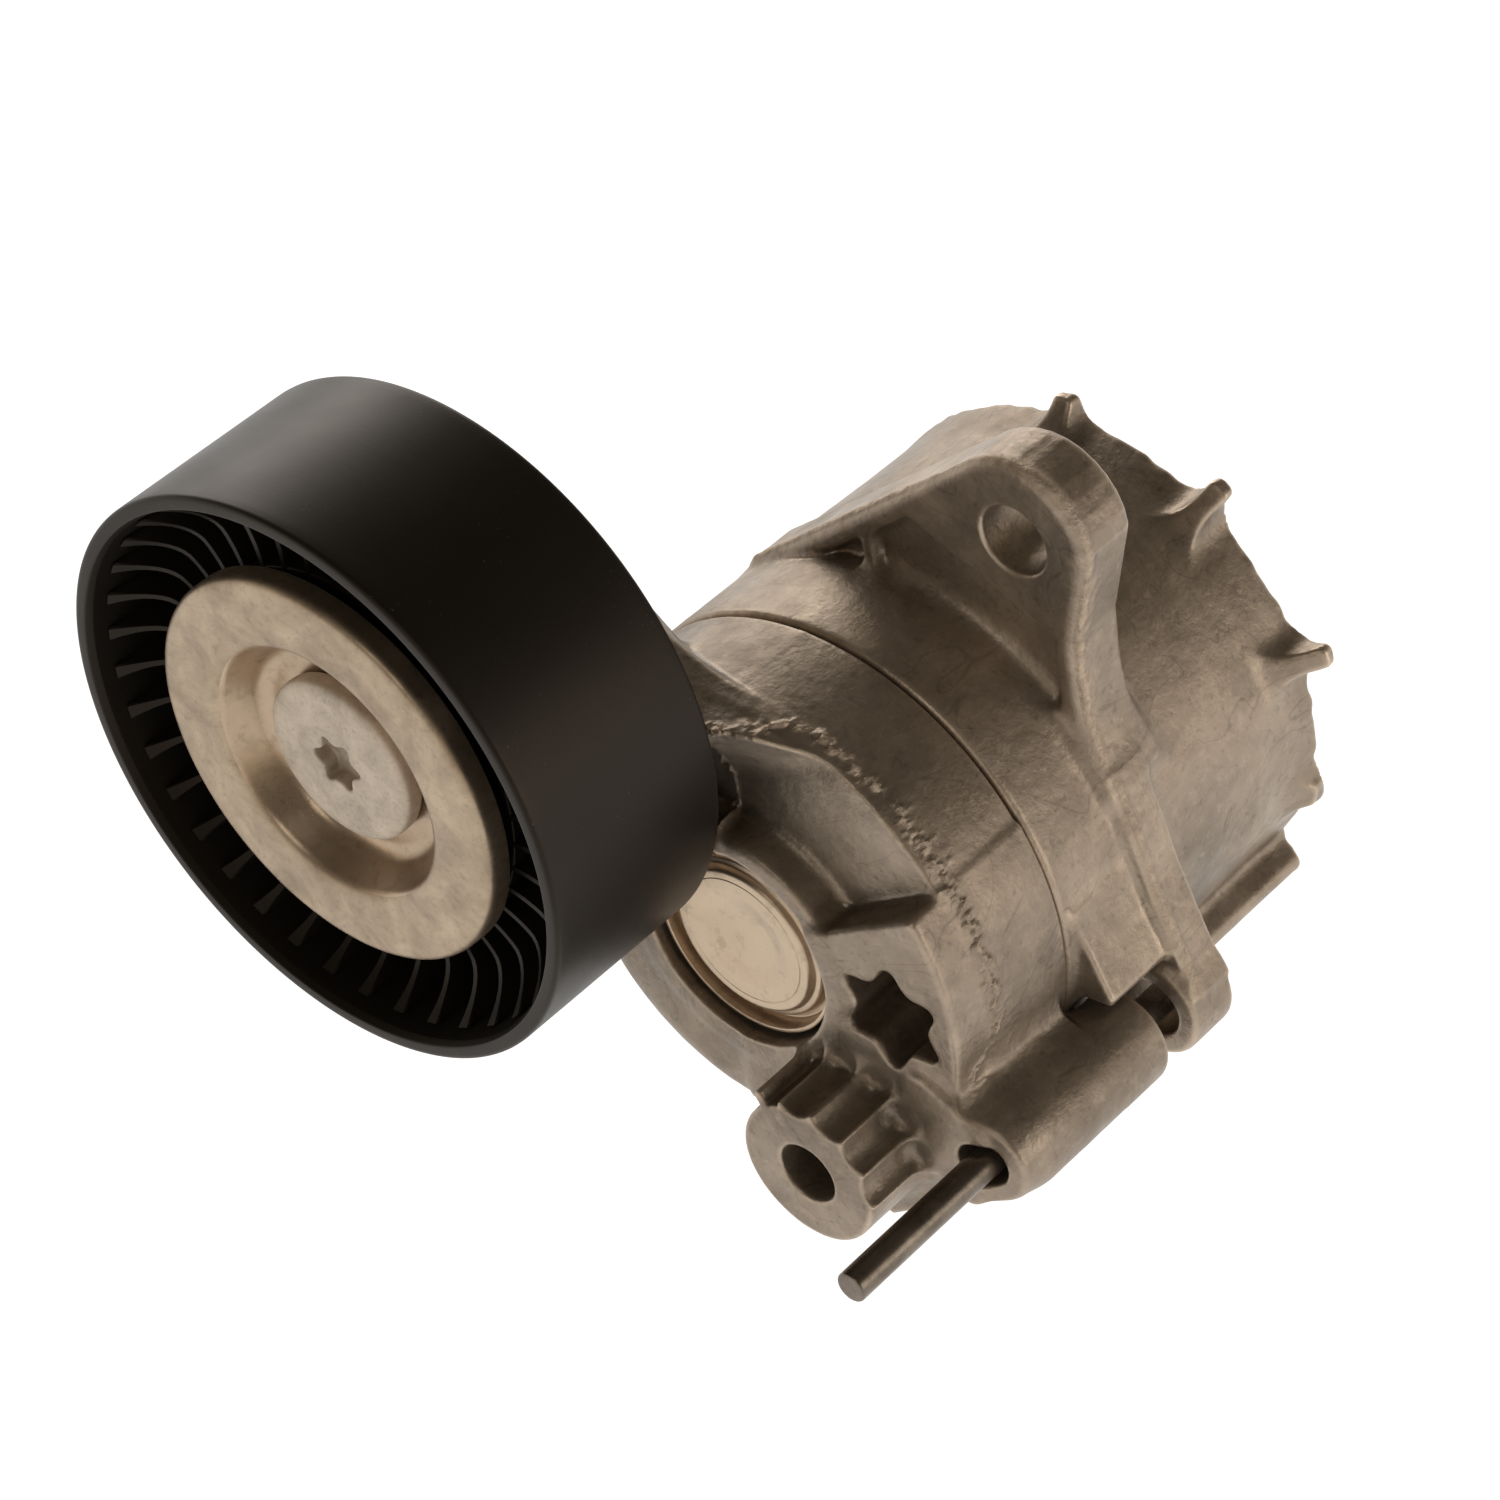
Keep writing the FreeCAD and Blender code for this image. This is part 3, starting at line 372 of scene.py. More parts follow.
def housing_field(x, y, z):
    r = np.hypot(x, z)
    radius = HOUSE_R - 0.5 * step((y - EAR_Y) / 28) + 0.2 * step((y + 5) / 4)
    d = slab(r - radius, y, SEAM, 0, 0.9)
    for turn in (1, -1):
        left = step((math.cos(math.radians(98)) * z - math.sin(math.radians(98)) * x) * turn / 6)
        d = smin(d, ear_field(x * turn, y, z * turn), 2.8 - 2.0 * left)
    for angle, reach in ((-8.0, 1.0), (28.0, 4.7), (64.0, 5.0), (100.0, 2.9)):
        a = math.radians(angle)
        along = x * math.cos(a) + z * math.sin(a)
        across = -x * math.sin(a) + z * math.cos(a)
        top = 31.6 + reach - 1.3 * np.maximum(-1.8 - y, 0)
        fin = smax(smax(np.abs(across) - 1.35, along - top, 1.0), np.maximum(-5.2 - y, y + 0.05), 0.9)
        fin = np.maximum(fin, 20 - along)
        d = smin(d, fin, 3.4)
    rib = strut(x, z, polar(20, -30.5), polar(HOUSE_R + 4.1 - 1.5, -30.5), 1.6)
    d = smin(d, slab(rib, y, LUG_Y + 4, -0.1, 0.9), 1.6)
    lug = smin(slab(poly(x, z, WEB), y, LUG_Y + 1.2, LUG_Y + 7.2, 0.8),
               round_bar(x, y, z, EYE, 6.3, LUG_Y, LUG_Y + 7.2, 0.9), 1.4)
    tip = polar(HOUSE_R + 4.0, -1.6)
    stop = poly(x, z, [(0.0, 0.0), polar(HOUSE_R - 0.2, 16.3), (tip[0] + 0.8, tip[1] + 0.3),
                       (tip[0] + 0.5, tip[1] - 0.8), polar(HOUSE_R - 0.6, -5.6)])
    stop = slab(stop, y, SEAM + 1.6, LUG_Y + 3, 0.7)
    lug = smin(lug, stop, 1.2)
    d = smin(d, lug, 1.6)
    cavity = slab(r - FIT_R, y, SEAM - 3, -5.0, 1.2)
    post = slab(r - 12.5, y, SEAM + 2.8, -2.0, 0.6)
    d = smax(d, -smax(cavity, -post, 1.2), 0.7)
    d = smax(d, -round_bar(x, y, z, (0, 0), 8.0, SEAM - 2, SEAM + 29.8, 0.4), 0.5)
    recess = smax(r - 27.0, 14.0 - r, 0.8)
    for i in range(4):
        a = math.radians(i * 45)
        recess = smax(recess, 1.2 - np.abs(-x * math.sin(a) + z * math.cos(a)), 0.8)
    d = smax(d, -slab(recess, y, -1.5, 3, 0.7), 0.7)
    for c in (EAR, (-EAR[0], -EAR[1])):
        d = smax(d, -(np.hypot(x - c[0], z - c[1]) - 4.2), 0.7)
    hole = np.maximum(np.hypot(x - EYE[0], z - EYE[1]) - 3.6, LUG_Y - 2 - y)
    return np.maximum(smax(d, -hole, 0.7), y)


def housing_rough(p, n):
    wave = 0.045 * noise3(p, 7.0, 3) + 0.022 * noise3(p, 2.2, 5)
    fine = 0.010 * noise3(p, 0.8, 8)
    r = np.hypot(p[:, 0], p[:, 2])
    inner = (r < FIT_R + 1.0) & (p[:, 1] < -3)
    ragged = 0.22 * noise3(p, 1.6, 9) * step((p[:, 1] + 1.6) / 1.2) * (r > 29)
    ear = np.where(p[:, 2] * EAR[1] + p[:, 0] * EAR[0] > 0, 1, -1)
    outline = poly(p[:, 0] * ear, p[:, 2] * ear, EAR_OUT)
    outline = np.where(ear > 0, np.minimum(outline, poly(p[:, 0], p[:, 2], WEB)), outline)
    depth = p[:, 1] - EAR_Y
    ridge = np.exp(-(np.hypot(outline, depth - 1.3) / 0.6) ** 2) * (r > HOUSE_R + 0.4)
    below = step((EAR[1] + 1 - p[:, 2]) / 5) * step((EAR[1] - 8 - p[:, 2]) / -40 + 1)
    strip = np.exp(-(outline / 0.7) ** 2) * step((depth - 0.6) / 0.5) * step((3.8 - depth) / 1.2) * below
    strip = strip * (r > HOUSE_R + 0.5)
    scuff = strip * (0.5 + 0.5 * noise3(p, 0.7, 21))
    lift = 0.24 * ridge * (0.75 + 0.25 * noise3(p, 1.8, 22)) + 0.13 * scuff
    return np.where(inner, 0.0, wave + fine - 0.05 + ragged + lift), 0.8 * ridge + 0.75 * scuff


# ---- arm casting -------------------------------------------------------------------------------

ARM_ANGLE = math.degrees(math.atan2(PULLEY[1], PULLEY[0]))
ARM_REACH = math.hypot(*PULLEY)


def on_neck(along, across):
    """Point from its place along the line to the pulley axis and across it, up being positive."""
    a = math.radians(ARM_ANGLE)
    return (math.cos(a) * along + math.sin(a) * across, math.sin(a) * along - math.cos(a) * across)


def star_points(centre, tip, valley, turn, share=0.28, side=0.93):
    points = []
    for i in range(6):
        a = turn + 60 * i
        for k in range(-3, 4):
            t = k / 3
            points.append((a + t * 30 * share, tip * (1 - (1 - side) * t * t)))
        for k in range(1, 8):
            t = k / 4 - 1
            points.append((a + 30 + t * 30 * (1 - share), valley + (tip * side - valley) * t * t))
    return [(centre[0] + r * math.cos(math.radians(a)), centre[1] + r * math.sin(math.radians(a)))
            for a, r in points]


NECK_FRONT = [on_neck(8, -15.5), on_neck(ARM_REACH, -13.5), on_neck(ARM_REACH, 13.5),
              on_neck(ARM_REACH - 8, 14.5), polar(ARM_R - 0.5, 96)]
NECK_BACK = [on_neck(8, -11.5), on_neck(ARM_REACH, -9.5), on_neck(ARM_REACH, 11.5),
             on_neck(ARM_REACH - 10, 10.5), polar(ARM_R - 0.6, 122)]
NECK_POCKET = [on_neck(11.3, -11.5), on_neck(ARM_REACH - 10, -9.5), on_neck(ARM_REACH - 10, 10.5),
               on_neck(ARM_R - 5, 11.5), polar(ARM_R - 4.5, 92)]
LOBE = [(0.0, 0.0), polar(22.8, -84), (BOSS[0] - 7.4, BOSS[1] - 8.8), (BOSS[0] + 1.6, BOSS[1] - 11.6),
        (BOSS[0] + 4.6, BOSS[1] - 12.2), (BOSS[0] + 6.8, BOSS[1] - 10.0), (EYE[0] - 1.4, EYE[1] - 6.0),
        EYE, (EYE[0] - 4, EYE[1] + 6)]
STAR_POINTS = star_points(STAR, 6.61, 4.78, -21.5)


def boss_field(x, y, z):
    """Round tool boss with four flutes on one side and a thin blade on the other."""
    dx, dz = x - BOSS[0], z - BOSS[1]
    r = np.hypot(dx, dz)
    angle = np.degrees(np.arctan2(dz, dx))
    fluted = step((angle - 3) / 6) * step((120 - angle) / 6)
    d = r - (9.0 + 1.2 * fluted)
    for i in range(4):
        c = polar(8.3 + 2.9, 20.0 + 27.5 * i)
        d = smax(d, -(np.hypot(dx - c[0], dz - c[1]) - 2.9), 0.5)
    d = slab(d, y, BOSS_FRONT, ARM_FRONT + 3, 0.6)
    ca, sa = polar(1.0, 134.0)
    blade = np.maximum(np.abs(dx * -sa + dz * ca) - 0.62, np.abs(dx * ca + dz * sa - 7.4) - 3.4)
    blade = slab(blade, y, BOSS_FRONT + 0.1, ARM_FRONT + 3, 0.5)
    return smin(d, blade, 0.5)


def arm_field(x, y, z):
    r = np.hypot(x, z)
    base = slab(r - ARM_R, y, ARM_FLOOR, ARM_BACK, 0.9)
    cone = (r - 22.2 - (y - ARM_FRONT) * 1.418) * 0.576
    lower = smax(slab(r - ARM_R, y, ARM_FRONT, ARM_BACK, 0.9), cone, 1.2)
    shelf = wedge(x, z, 40, 101)
    shelf = np.minimum(shelf, wedge(x, z, 101, 162))
    lower = smax(lower, -shelf, 1.1)
    d = smin(smax(base, cone, 1.2), lower, 0.8)
    d = smin(d, smax(base, shelf, 0.8), 0.8)
    plate = smax(slab(r - ARM_R, y, ARM_FRONT, ARM_BACK, 1.0), wedge(x, z, -62, 40), 1.1)
    d = smin(d, plate, 1.2)
    ring = slab(r - 15.3 - (y - ARM_FRONT) * 0.17, y, ARM_FRONT, ARM_FLOOR + 3, 0.9)
    d = smin(d, ring, 1.6)
    lobe = slab(poly(x, z, LOBE), y, ARM_FRONT, ARM_FRONT + 11, 1.2)
    d = smin(d, lobe, 1.5)
    dx, dz = x - EYE[0], z - EYE[1]
    re = np.hypot(dx, dz)
    tube_r = 6.2 - 0.8 * step((ARM_FRONT + 5 - y) / 5)
    eye = slab(re - tube_r, y, ARM_FRONT, SEAM + 6.0, 0.9)
    eye = smax(eye, -slab(r - HOUSE_R - 0.4, y, ARM_BACK, SEAM + 8, 0.3), 0.6)
    web = poly(x, z, [polar(ARM_R - 4, -8), (EYE[0] - 1.0, EYE[1] + 3.0), (EYE[0] - 1.0, EYE[1] - 4.6),
                      polar(ARM_R - 3, -34)])
    eye = smin(eye, slab(web, y, ARM_FRONT + 0.6, ARM_BACK, 0.6), 2.0)
    behind = step((y - ARM_BACK + 1.5) / 1.5)
    d = smin(d, eye + 2.0 * behind * (re > 7.5), 5.0 - 4.0 * behind)
    d = smin(d, boss_field(x, y, z), 2.2)
    t = step((y - (SEAM - 12.4)) / 5.6)
    neck = poly(x, z, NECK_FRONT) * (1 - t) + poly(x, z, NECK_BACK) * t
    ca, sa = polar(1.0, ARM_ANGLE)
    along = x * ca + z * sa
    rear = SEAM - 6.8 - 0.31 * np.maximum(along - (ARM_REACH - 12), 0)
    neck = smax(neck, np.maximum(ARM_FRONT - y, y - rear), 1.6)
    well = slab(poly(x, z, NECK_POCKET), y, ARM_FRONT - 3, ARM_FLOOR, 1.2)
    well = smax(well, 16.2 - r, 1.0)
    px, pz = x - PULLEY[0], z - PULLEY[1]
    rp = np.hypot(px, pz)
    well = smax(well, 13.2 - rp, 1.0)
    neck = smax(neck, -well, 1.4)
    d = smin(d, neck, 1.8)
    foot, crest = polar(ARM_R - 0.2, 76), polar(ARM_R - 0.2, 97)
    inner = polar(ARM_R - 8.5, 96)
    ramp = half_space(x, y, z, (foot[0], ARM_FLOOR, foot[1]), (crest[0], ARM_FRONT, crest[1]),
                      (inner[0], ARM_FLOOR, inner[1]), (0, -1, 0))
    ramp = smax(ramp, slab(r - ARM_R + 0.1, y, ARM_FRONT, ARM_FLOOR + 2, 0.6), 0.8)
    ramp = smax(ramp, np.maximum(wedge(x, z, 70, 100), 17 - r), 0.6)
    d = smin(d, ramp, 0.9)
    shoulder = BEARING_BACK + 1.0
    cone_t = np.clip((y - shoulder - 1.2) / (ARM_FRONT - 1.5 - shoulder - 1.2), 0, 1)
    boss = slab(rp - (12.5 + 0.5 * cone_t), y, shoulder, SEAM - 11.3, 0.8)
    d = smin(d, boss, 1.6)
    spigot = slab(rp - 8.45, y, BEARING_FRONT + 1.0, shoulder + 2, 0.5)
    d = smin(d, spigot, 0.5)
    chamber = slab(r - (ARM_R - 5.1), y, ARM_FRONT + 9.2, ARM_BACK + 3, 1.0)
    hub = slab(r - 13.0, y, ARM_FRONT, ARM_BACK + 5, 0.6)
    pad = slab(np.hypot(x - STAR[0], z - STAR[1]) - 8.4, y, ARM_FRONT, ARM_FRONT + 11.3, 0.6)
    d = smax(d, -smax(chamber, -smin(hub, pad, 1.0), 0.8), 0.7)
    d = smax(d, -slab(r - 12.84, y, ARM_FRONT - 3, ARM_FRONT + 7.2, 0.4), 0.5)
    d = smax(d, -(r - 9.55), 0.5)
    star = slab(poly(x, z, STAR_POINTS), y, ARM_FRONT - 3, ARM_FRONT + 9.7, 0.5)
    d = smax(d, -star, 0.55)
    d = smax(d, -round_bar(x, y, z, BOSS, 3.7, BOSS_FRONT - 3, BOSS_FRONT + 17, 0.6), 0.6)
    d = smax(d, -(re - 2.9), 0.6)
    return smax(d, -round_bar(x, y, z, PULLEY, 5.05, BEARING_FRONT - 3, COVER_SEAT + 22, 0.4), 0.4)


def arm_rough(p, n):
    wave = 0.040 * noise3(p, 6.0, 13) + 0.020 * noise3(p, 2.0, 15)
    fine = 0.010 * noise3(p, 0.8, 18)
    rp = np.hypot(p[:, 0] - PULLEY[0], p[:, 2] - PULLEY[1])
    r = np.hypot(p[:, 0], p[:, 2])
    inner = (rp < 9) | ((r < 26.5) & (p[:, 1] > ARM_FRONT + 6)) | (p[:, 1] > ARM_BACK - 0.4)
    a = np.degrees(np.arctan2(p[:, 2], p[:, 0]))
    line = SEAM - 12.0 - 6.4 * step((a - 82) / 15) - 4.0 * step((8 - a) / 12)
    line = line + 0.32 * np.sin(a * 0.9) + 0.24 * np.sin(a * 2.3 + 1) + 0.16 * np.sin(a * 5.1)
    d = p[:, 1] - line
    on = (np.abs(r - ARM_R) < 1.2) & (a > -4) & (a < 98)
    crumbs = np.clip(1.3 * noise3(p, 1.0, 23) + 0.55, 0, 1)
    ridge = on * np.exp(-(d / 0.42) ** 2) * crumbs
    bits = on * np.exp(-(d / 1.3) ** 2) * np.clip(noise3(p, 0.9, 29) - 0.35, 0, 1)
    return np.where(inner, 0.0, wave + fine - 0.05 + 0.36 * ridge + 0.5 * bits), 1.1 * ridge + 1.5 * bits


# ---- lathed parts ------------------------------------------------------------------------------

def fillet(profile, default=0.25, n=5):
    """Rounds the corners of an open (radius, y[, corner radius]) profile with arcs."""
    out = [profile[0][:2]]
    for prev, here, nxt in zip(profile, profile[1:], profile[2:]):
        p = np.array(here[:2], float)
        a, b = np.array(prev[:2]) - p, np.array(nxt[:2]) - p
        la, lb = np.linalg.norm(a), np.linalg.norm(b)
        rad = here[2] if len(here) > 2 else default
        if rad <= 0 or la < 1e-6 or lb < 1e-6:
            out.append(tuple(p))
            continue
        a, b = a / la, b / lb
        half = math.acos(max(-1, min(1, float(a @ b)))) / 2
        if half > math.pi / 2 - 0.02:
            out.append(tuple(p))
            continue
        cut = min(rad / math.tan(half), 0.45 * la, 0.45 * lb)
        start, end = p + a * cut, p + b * cut
        for i in range(n + 1):
            t = i / n
            out.append(tuple((1 - t) ** 2 * start + 2 * t * (1 - t) * p + t * t * end))
    out.append(profile[-1][:2])
    return out


def mesh_object(name, verts, faces, smooth_angle=40):
    mesh = bpy.data.meshes.new(name)
    mesh.from_pydata([tuple(np.array(v) * MM) for v in verts], [], faces)
    mesh.update()
    mesh.validate()
    mesh.shade_smooth()
    obj = bpy.data.objects.new(name, mesh)
    scene.collection.objects.link(obj)
    if smooth_angle:
        mesh.set_sharp_from_angle(angle=math.radians(smooth_angle))
    return obj


def lathe(name, centre, profile, segments=192, closed=True):
    """Turns a (radius, y) profile about the Y axis through a centre."""
    verts, faces, rows = [], [], []
    for r, y in profile:
        if r < 1e-4:
            rows.append([len(verts)] * segments)
            verts.append((centre[0], y, centre[1]))
            continue
        row = []
        for i in range(segments):
            a = 2 * math.pi * i / segments
            row.append(len(verts))
            verts.append((centre[0] + r * math.cos(a), y, centre[1] + r * math.sin(a)))
        rows.append(row)
    pairs = list(zip(rows, rows[1:]))
    if closed and profile[0][0] > 1e-4:
        pairs.append((rows[-1], rows[0]))
    for a, b in pairs:
        for i in range(segments):
            j = (i + 1) % segments
            face = [a[i], a[j], b[j], b[i]]
            face = [v for k, v in enumerate(face) if v != face[k - 1]]
            if len(face) > 2:
                faces.append(face)
    obj = mesh_object(name, verts, faces, 0)
    bm = bmesh.new()
    bm.from_mesh(obj.data)
    bmesh.ops.recalc_face_normals(bm, faces=bm.faces)
    bm.to_mesh(obj.data)
    bm.free()
    obj.data.shade_smooth()
    obj.data.set_sharp_from_angle(angle=math.radians(38))
    return obj


# ---- materials ---------------------------------------------------------------------------------

class Nodes:
    """Short way to write a node material."""

    def __init__(self, name):
        self.mat = bpy.data.materials.new(name)
        self.mat.use_nodes = True
        self.tree = self.mat.node_tree
        self.bsdf = self.tree.nodes["Principled BSDF"]
        self.coord = self.add("ShaderNodeTexCoord").outputs["Object"]

    def add(self, kind, **values):
        node = self.tree.nodes.new(kind)
        for key, value in values.items():
            if hasattr(node, key):
                setattr(node, key, value)
            else:
                self.put(node, key, value)
        return node

    def put(self, node, key, value):
        socket = node.inputs[key]
        if isinstance(value, bpy.types.NodeSocket):
            self.tree.links.new(value, socket)
        else:
            socket.default_value = value

    def noise(self, scale, detail=4.0, rough=0.55, stretch=(1, 1, 1), distort=0.0):
        mapping = self.add("ShaderNodeMapping")
        mapping.inputs["Scale"].default_value = stretch
        self.put(mapping, "Vector", self.coord)
        node = self.add("ShaderNodeTexNoise")
        settings = (("Scale", scale), ("Detail", detail), ("Roughness", rough), ("Distortion", distort))
        for key, value in settings:
            node.inputs[key].default_value = value
        self.put(node, "Vector", mapping.outputs[0])
        return node.outputs["Fac"]

    def ramp(self, fac, stops):
        node = self.add("ShaderNodeValToRGB")
        self.put(node, "Fac", fac)
        ramp = node.color_ramp
        while len(ramp.elements) < len(stops):
            ramp.elements.new(0.5)
        for element, (place, colour) in zip(ramp.elements, stops):
            element.position = place
            if not isinstance(colour, (tuple, list)):
                colour = (colour, colour, colour)
            element.color = (*colour, 1)
        return node.outputs["Color"]

    def mix(self, fac, a, b, blend="MIX"):
        node = self.add("ShaderNodeMix")
        node.data_type = "RGBA"
        node.blend_type = blend
        for index, value in ((0, fac), (6, a), (7, b)):
            if isinstance(value, bpy.types.NodeSocket):
                self.tree.links.new(value, node.inputs[index])
            elif index == 0:
                node.inputs[0].default_value = value
            else:
                if not isinstance(value, (tuple, list)):
                    value = (value, value, value)
                node.inputs[index].default_value = (*value, 1)
        return node.outputs[2]

    def math(self, op, a, b=0.0):
        node = self.add("ShaderNodeMath")
        node.operation = op
        for index, value in enumerate((a, b)):
            if isinstance(value, bpy.types.NodeSocket):
                self.tree.links.new(value, node.inputs[index])
            else:
                node.inputs[index].default_value = value
        return node.outputs[0]

    def bump(self, height, strength, distance, under=None):
        node = self.add("ShaderNodeBump")
        node.inputs["Strength"].default_value = strength
        node.inputs["Distance"].default_value = distance
        self.put(node, "Height", height)
        if under is not None:
            self.put(node, "Normal", under)
        return node.outputs[0]

    def finish(self, colour, rough, metallic, normal=None, **sockets):
        self.put(self.bsdf, "Base Color", colour)
        self.put(self.bsdf, "Roughness", rough)
        self.bsdf.inputs["Metallic"].default_value = metallic
        if normal is not None:
            self.put(self.bsdf, "Normal", normal)
        for key, value in sockets.items():
            self.bsdf.inputs[key.replace("_", " ")].default_value = value
        return self.mat


def cast_metal(name, light, dark, edge_gain=1.0):
    """Raw die-cast aluminium: mottled and stained, with a painted highlight on convex edges, partly standing
    for rubbed wear, and painted shade in concave corners.
    """
    m = Nodes(name)
    blotch = m.ramp(m.noise(38, 6, 0.62, distort=0.6), [(0.30, dark), (0.50, tuple(
        (a + b) / 2 for a, b in zip(dark, light))), (0.72, light)])
    stain = m.ramp(m.noise(95, 5, 0.7, distort=0.9), [(0.34, 0.70), (0.60, 1.0)])
    colour = m.mix(0.55, blotch, stain, "MULTIPLY")
    smear = m.noise(60, 7, 0.7, stretch=(1, 0.35, 1), distort=1.4)
    smear = m.ramp(smear, [(0.44, 1.0), (0.50, 0.78), (0.56, 1.0)])
    colour = m.mix(0.5, colour, smear, "MULTIPLY")
    speck = m.ramp(m.noise(900, 3, 0.6), [(0.30, 0.55), (0.42, 1.0)])
    colour = m.mix(0.5, colour, speck, "MULTIPLY")
    pale = m.ramp(m.noise(520, 5, 0.75), [(0.54, 0.0), (0.72, 0.28)])
    colour = m.mix(pale, colour, tuple(min(1.0, c * 1.35) for c in light))
    hair = m.noise(45, 2, 0.5, stretch=(1, 0.5, 1), distort=2.5)
    hair = m.ramp(hair, [(0.494, 1.0), (0.5, 0.45), (0.506, 1.0)])
    colour = m.mix(0.45, colour, hair, "MULTIPLY")
    edge = m.add("ShaderNodeAttribute")
    edge.attribute_name = "edge"
    edge = edge.outputs["Fac"]
    # Painted highlight: convex edges lifted to a brighter colour and broken up by noise; partly rubbed wear,
    # partly painted light.
    edge_highlight_and_wear = m.math("MULTIPLY", m.math("SUBTRACT", edge, 0.10), 3.0)
    edge_highlight_and_wear = m.math("MULTIPLY", edge_highlight_and_wear, m.noise(240, 4, 0.7))
    edge_highlight_and_wear = m.math("MINIMUM", m.math("MAXIMUM", edge_highlight_and_wear, 0.0), 0.85 * edge_gain)
    colour = m.mix(edge_highlight_and_wear, colour, tuple(min(1.0, c * 1.45) for c in light))
    # Painted shade: concave corners darkened as if in shadow.
    corner = m.math("MULTIPLY", m.math("SUBTRACT", 0.0, m.math("ADD", edge, 0.05)), 3.0)
    corner = m.math("MINIMUM", m.math("MAXIMUM", corner, 0.0), 0.8)
    colour = m.mix(m.math("MULTIPLY", corner, 0.3), colour, tuple(c * 0.6 for c in dark))
    flash = m.add("ShaderNodeAttribute")
    flash.attribute_name = "flash"
    flash = flash.outputs["Fac"]
    crumb = m.math("MULTIPLY", flash, m.ramp(m.noise(700, 4, 0.7), [(0.35, 0.2), (0.60, 1.0)]))
    colour = m.mix(crumb, colour, tuple(min(1.0, c * 1.25) for c in light))
    rough = m.ramp(m.noise(120, 5, 0.6), [(0.30, 0.34), (0.70, 0.54)])
    rough = m.mix(edge_highlight_and_wear, rough, 0.27)
    rough = m.mix(corner, rough, 0.24)
    rough = m.mix(flash, rough, 0.62)
    grain = m.bump(m.noise(1500, 4, 0.6), 0.28, 0.00018)
    grain = m.bump(m.noise(320, 5, 0.6), 0.34, 0.0005, grain)
    grain = m.bump(m.math("MULTIPLY", flash, m.noise(900, 5, 0.7)), 0.8, 0.0006, grain)
    return m.finish(colour, rough, 0.72, grain)


def nylon(name):
    m = Nodes(name)
    colour = m.ramp(m.noise(30, 4), [(0.3, (0.0075, 0.0064, 0.0052)), (0.7, (0.0115, 0.0098, 0.0080))])
    dust = m.ramp(m.noise(2600, 2, 0.5), [(0.70, 0.0), (0.76, 1.0)])
    patch = m.ramp(m.noise(90, 4, 0.6), [(0.50, 0.0), (0.66, 1.0)])
    dust = m.mix(1.0, dust, patch, "MULTIPLY")
    colour = m.mix(m.math("MULTIPLY", dust, 0.35), colour, (0.20, 0.18, 0.155))
    rough = m.ramp(m.noise(55, 5, 0.6), [(0.3, 0.36), (0.7, 0.46)])
    scratch = m.noise(420, 3, 0.6, stretch=(0.06, 1, 0.06))
    normal = m.bump(m.noise(3000, 2), 0.10, 0.0001)
    normal = m.bump(scratch, 0.05, 0.0002, normal)
    return m.finish(colour, rough, 0.0, normal, Specular_IOR_Level=0.22, Specular_Tint=(1.0, 0.80, 0.62, 1))


def plated(name, light, dark, rough_lo, rough_hi, scale=160, metallic=0.85, grain=0.12):
    """Zinc-plated or drawn steel: fine mottling and light scratches."""
    m = Nodes(name)
    colour = m.ramp(m.noise(scale, 6, 0.65, distort=0.5), [(0.32, dark), (0.66, light)])
    pits = m.ramp(m.noise(scale * 6, 4, 0.7), [(0.34, 0.70), (0.46, 1.0)])
    colour = m.mix(0.6, colour, pits, "MULTIPLY")
    scratch = m.ramp(m.noise(340, 4, 0.6, stretch=(1, 1, 0.12), distort=0.4), [(0.30, 1.12), (0.42, 1.0)])
    colour = m.mix(0.5, colour, scratch, "MULTIPLY")
    cross = m.ramp(m.noise(360, 4, 0.6, stretch=(0.12, 1, 1), distort=0.4), [(0.28, 0.84), (0.40, 1.0)])
    colour = m.mix(0.5, colour, cross, "MULTIPLY")
    rough = m.ramp(m.noise(scale * 1.3, 5, 0.6), [(0.3, rough_lo), (0.7, rough_hi)])
    normal = m.bump(m.noise(1400, 4, 0.6), grain, 0.00015)
    return m.finish(colour, rough, metallic, normal)


CAST_HOUSING = cast_metal("cast_housing", (0.46, 0.368, 0.280), (0.190, 0.149, 0.111))
CAST_ARM = cast_metal("cast_arm", (0.40, 0.320, 0.243), (0.165, 0.129, 0.096))
NYLON = nylon("black_nylon")
ZINC = plated("zinc_plate", (0.46, 0.360, 0.255), (0.27, 0.206, 0.142), 0.32, 0.50)
ZINC_SMOOTH = plated("zinc_dish", (0.50, 0.380, 0.270), (0.40, 0.300, 0.208), 0.24, 0.34, 90)
FLAKE = plated("zinc_flake", (0.58, 0.490, 0.390), (0.40, 0.335, 0.262), 0.50, 0.62, 260, 0.45, 0.25)
BRIGHT = plated("bright_cap", (0.56, 0.435, 0.315), (0.49, 0.378, 0.270), 0.30, 0.40, 70)
PIN = plated("drawn_pin", (0.21, 0.172, 0.136), (0.12, 0.097, 0.075), 0.24, 0.36, 220)
INNER_STEEL = plated("inner_steel", (0.52, 0.50, 0.48), (0.40, 0.38, 0.36), 0.25, 0.35)
SPRING = plated("spring_steel", (0.12, 0.12, 0.13), (0.06, 0.06, 0.07), 0.35, 0.5)


def moulded(name, a, b):
    m = Nodes(name)
    colour = m.ramp(m.noise(120, 4), [(0.3, a), (0.7, b)])
    rough = m.ramp(m.noise(300, 3), [(0.3, 0.45), (0.7, 0.6)])
    return m.finish(colour, rough, 0.0, m.bump(m.noise(1800, 3), 0.15, 0.0001))


WHITE_NYLON = moulded("white_nylon", (0.62, 0.60, 0.54), (0.70, 0.68, 0.62))
RUBBER = moulded("black_rubber", (0.018, 0.018, 0.018), (0.030, 0.029, 0.028))


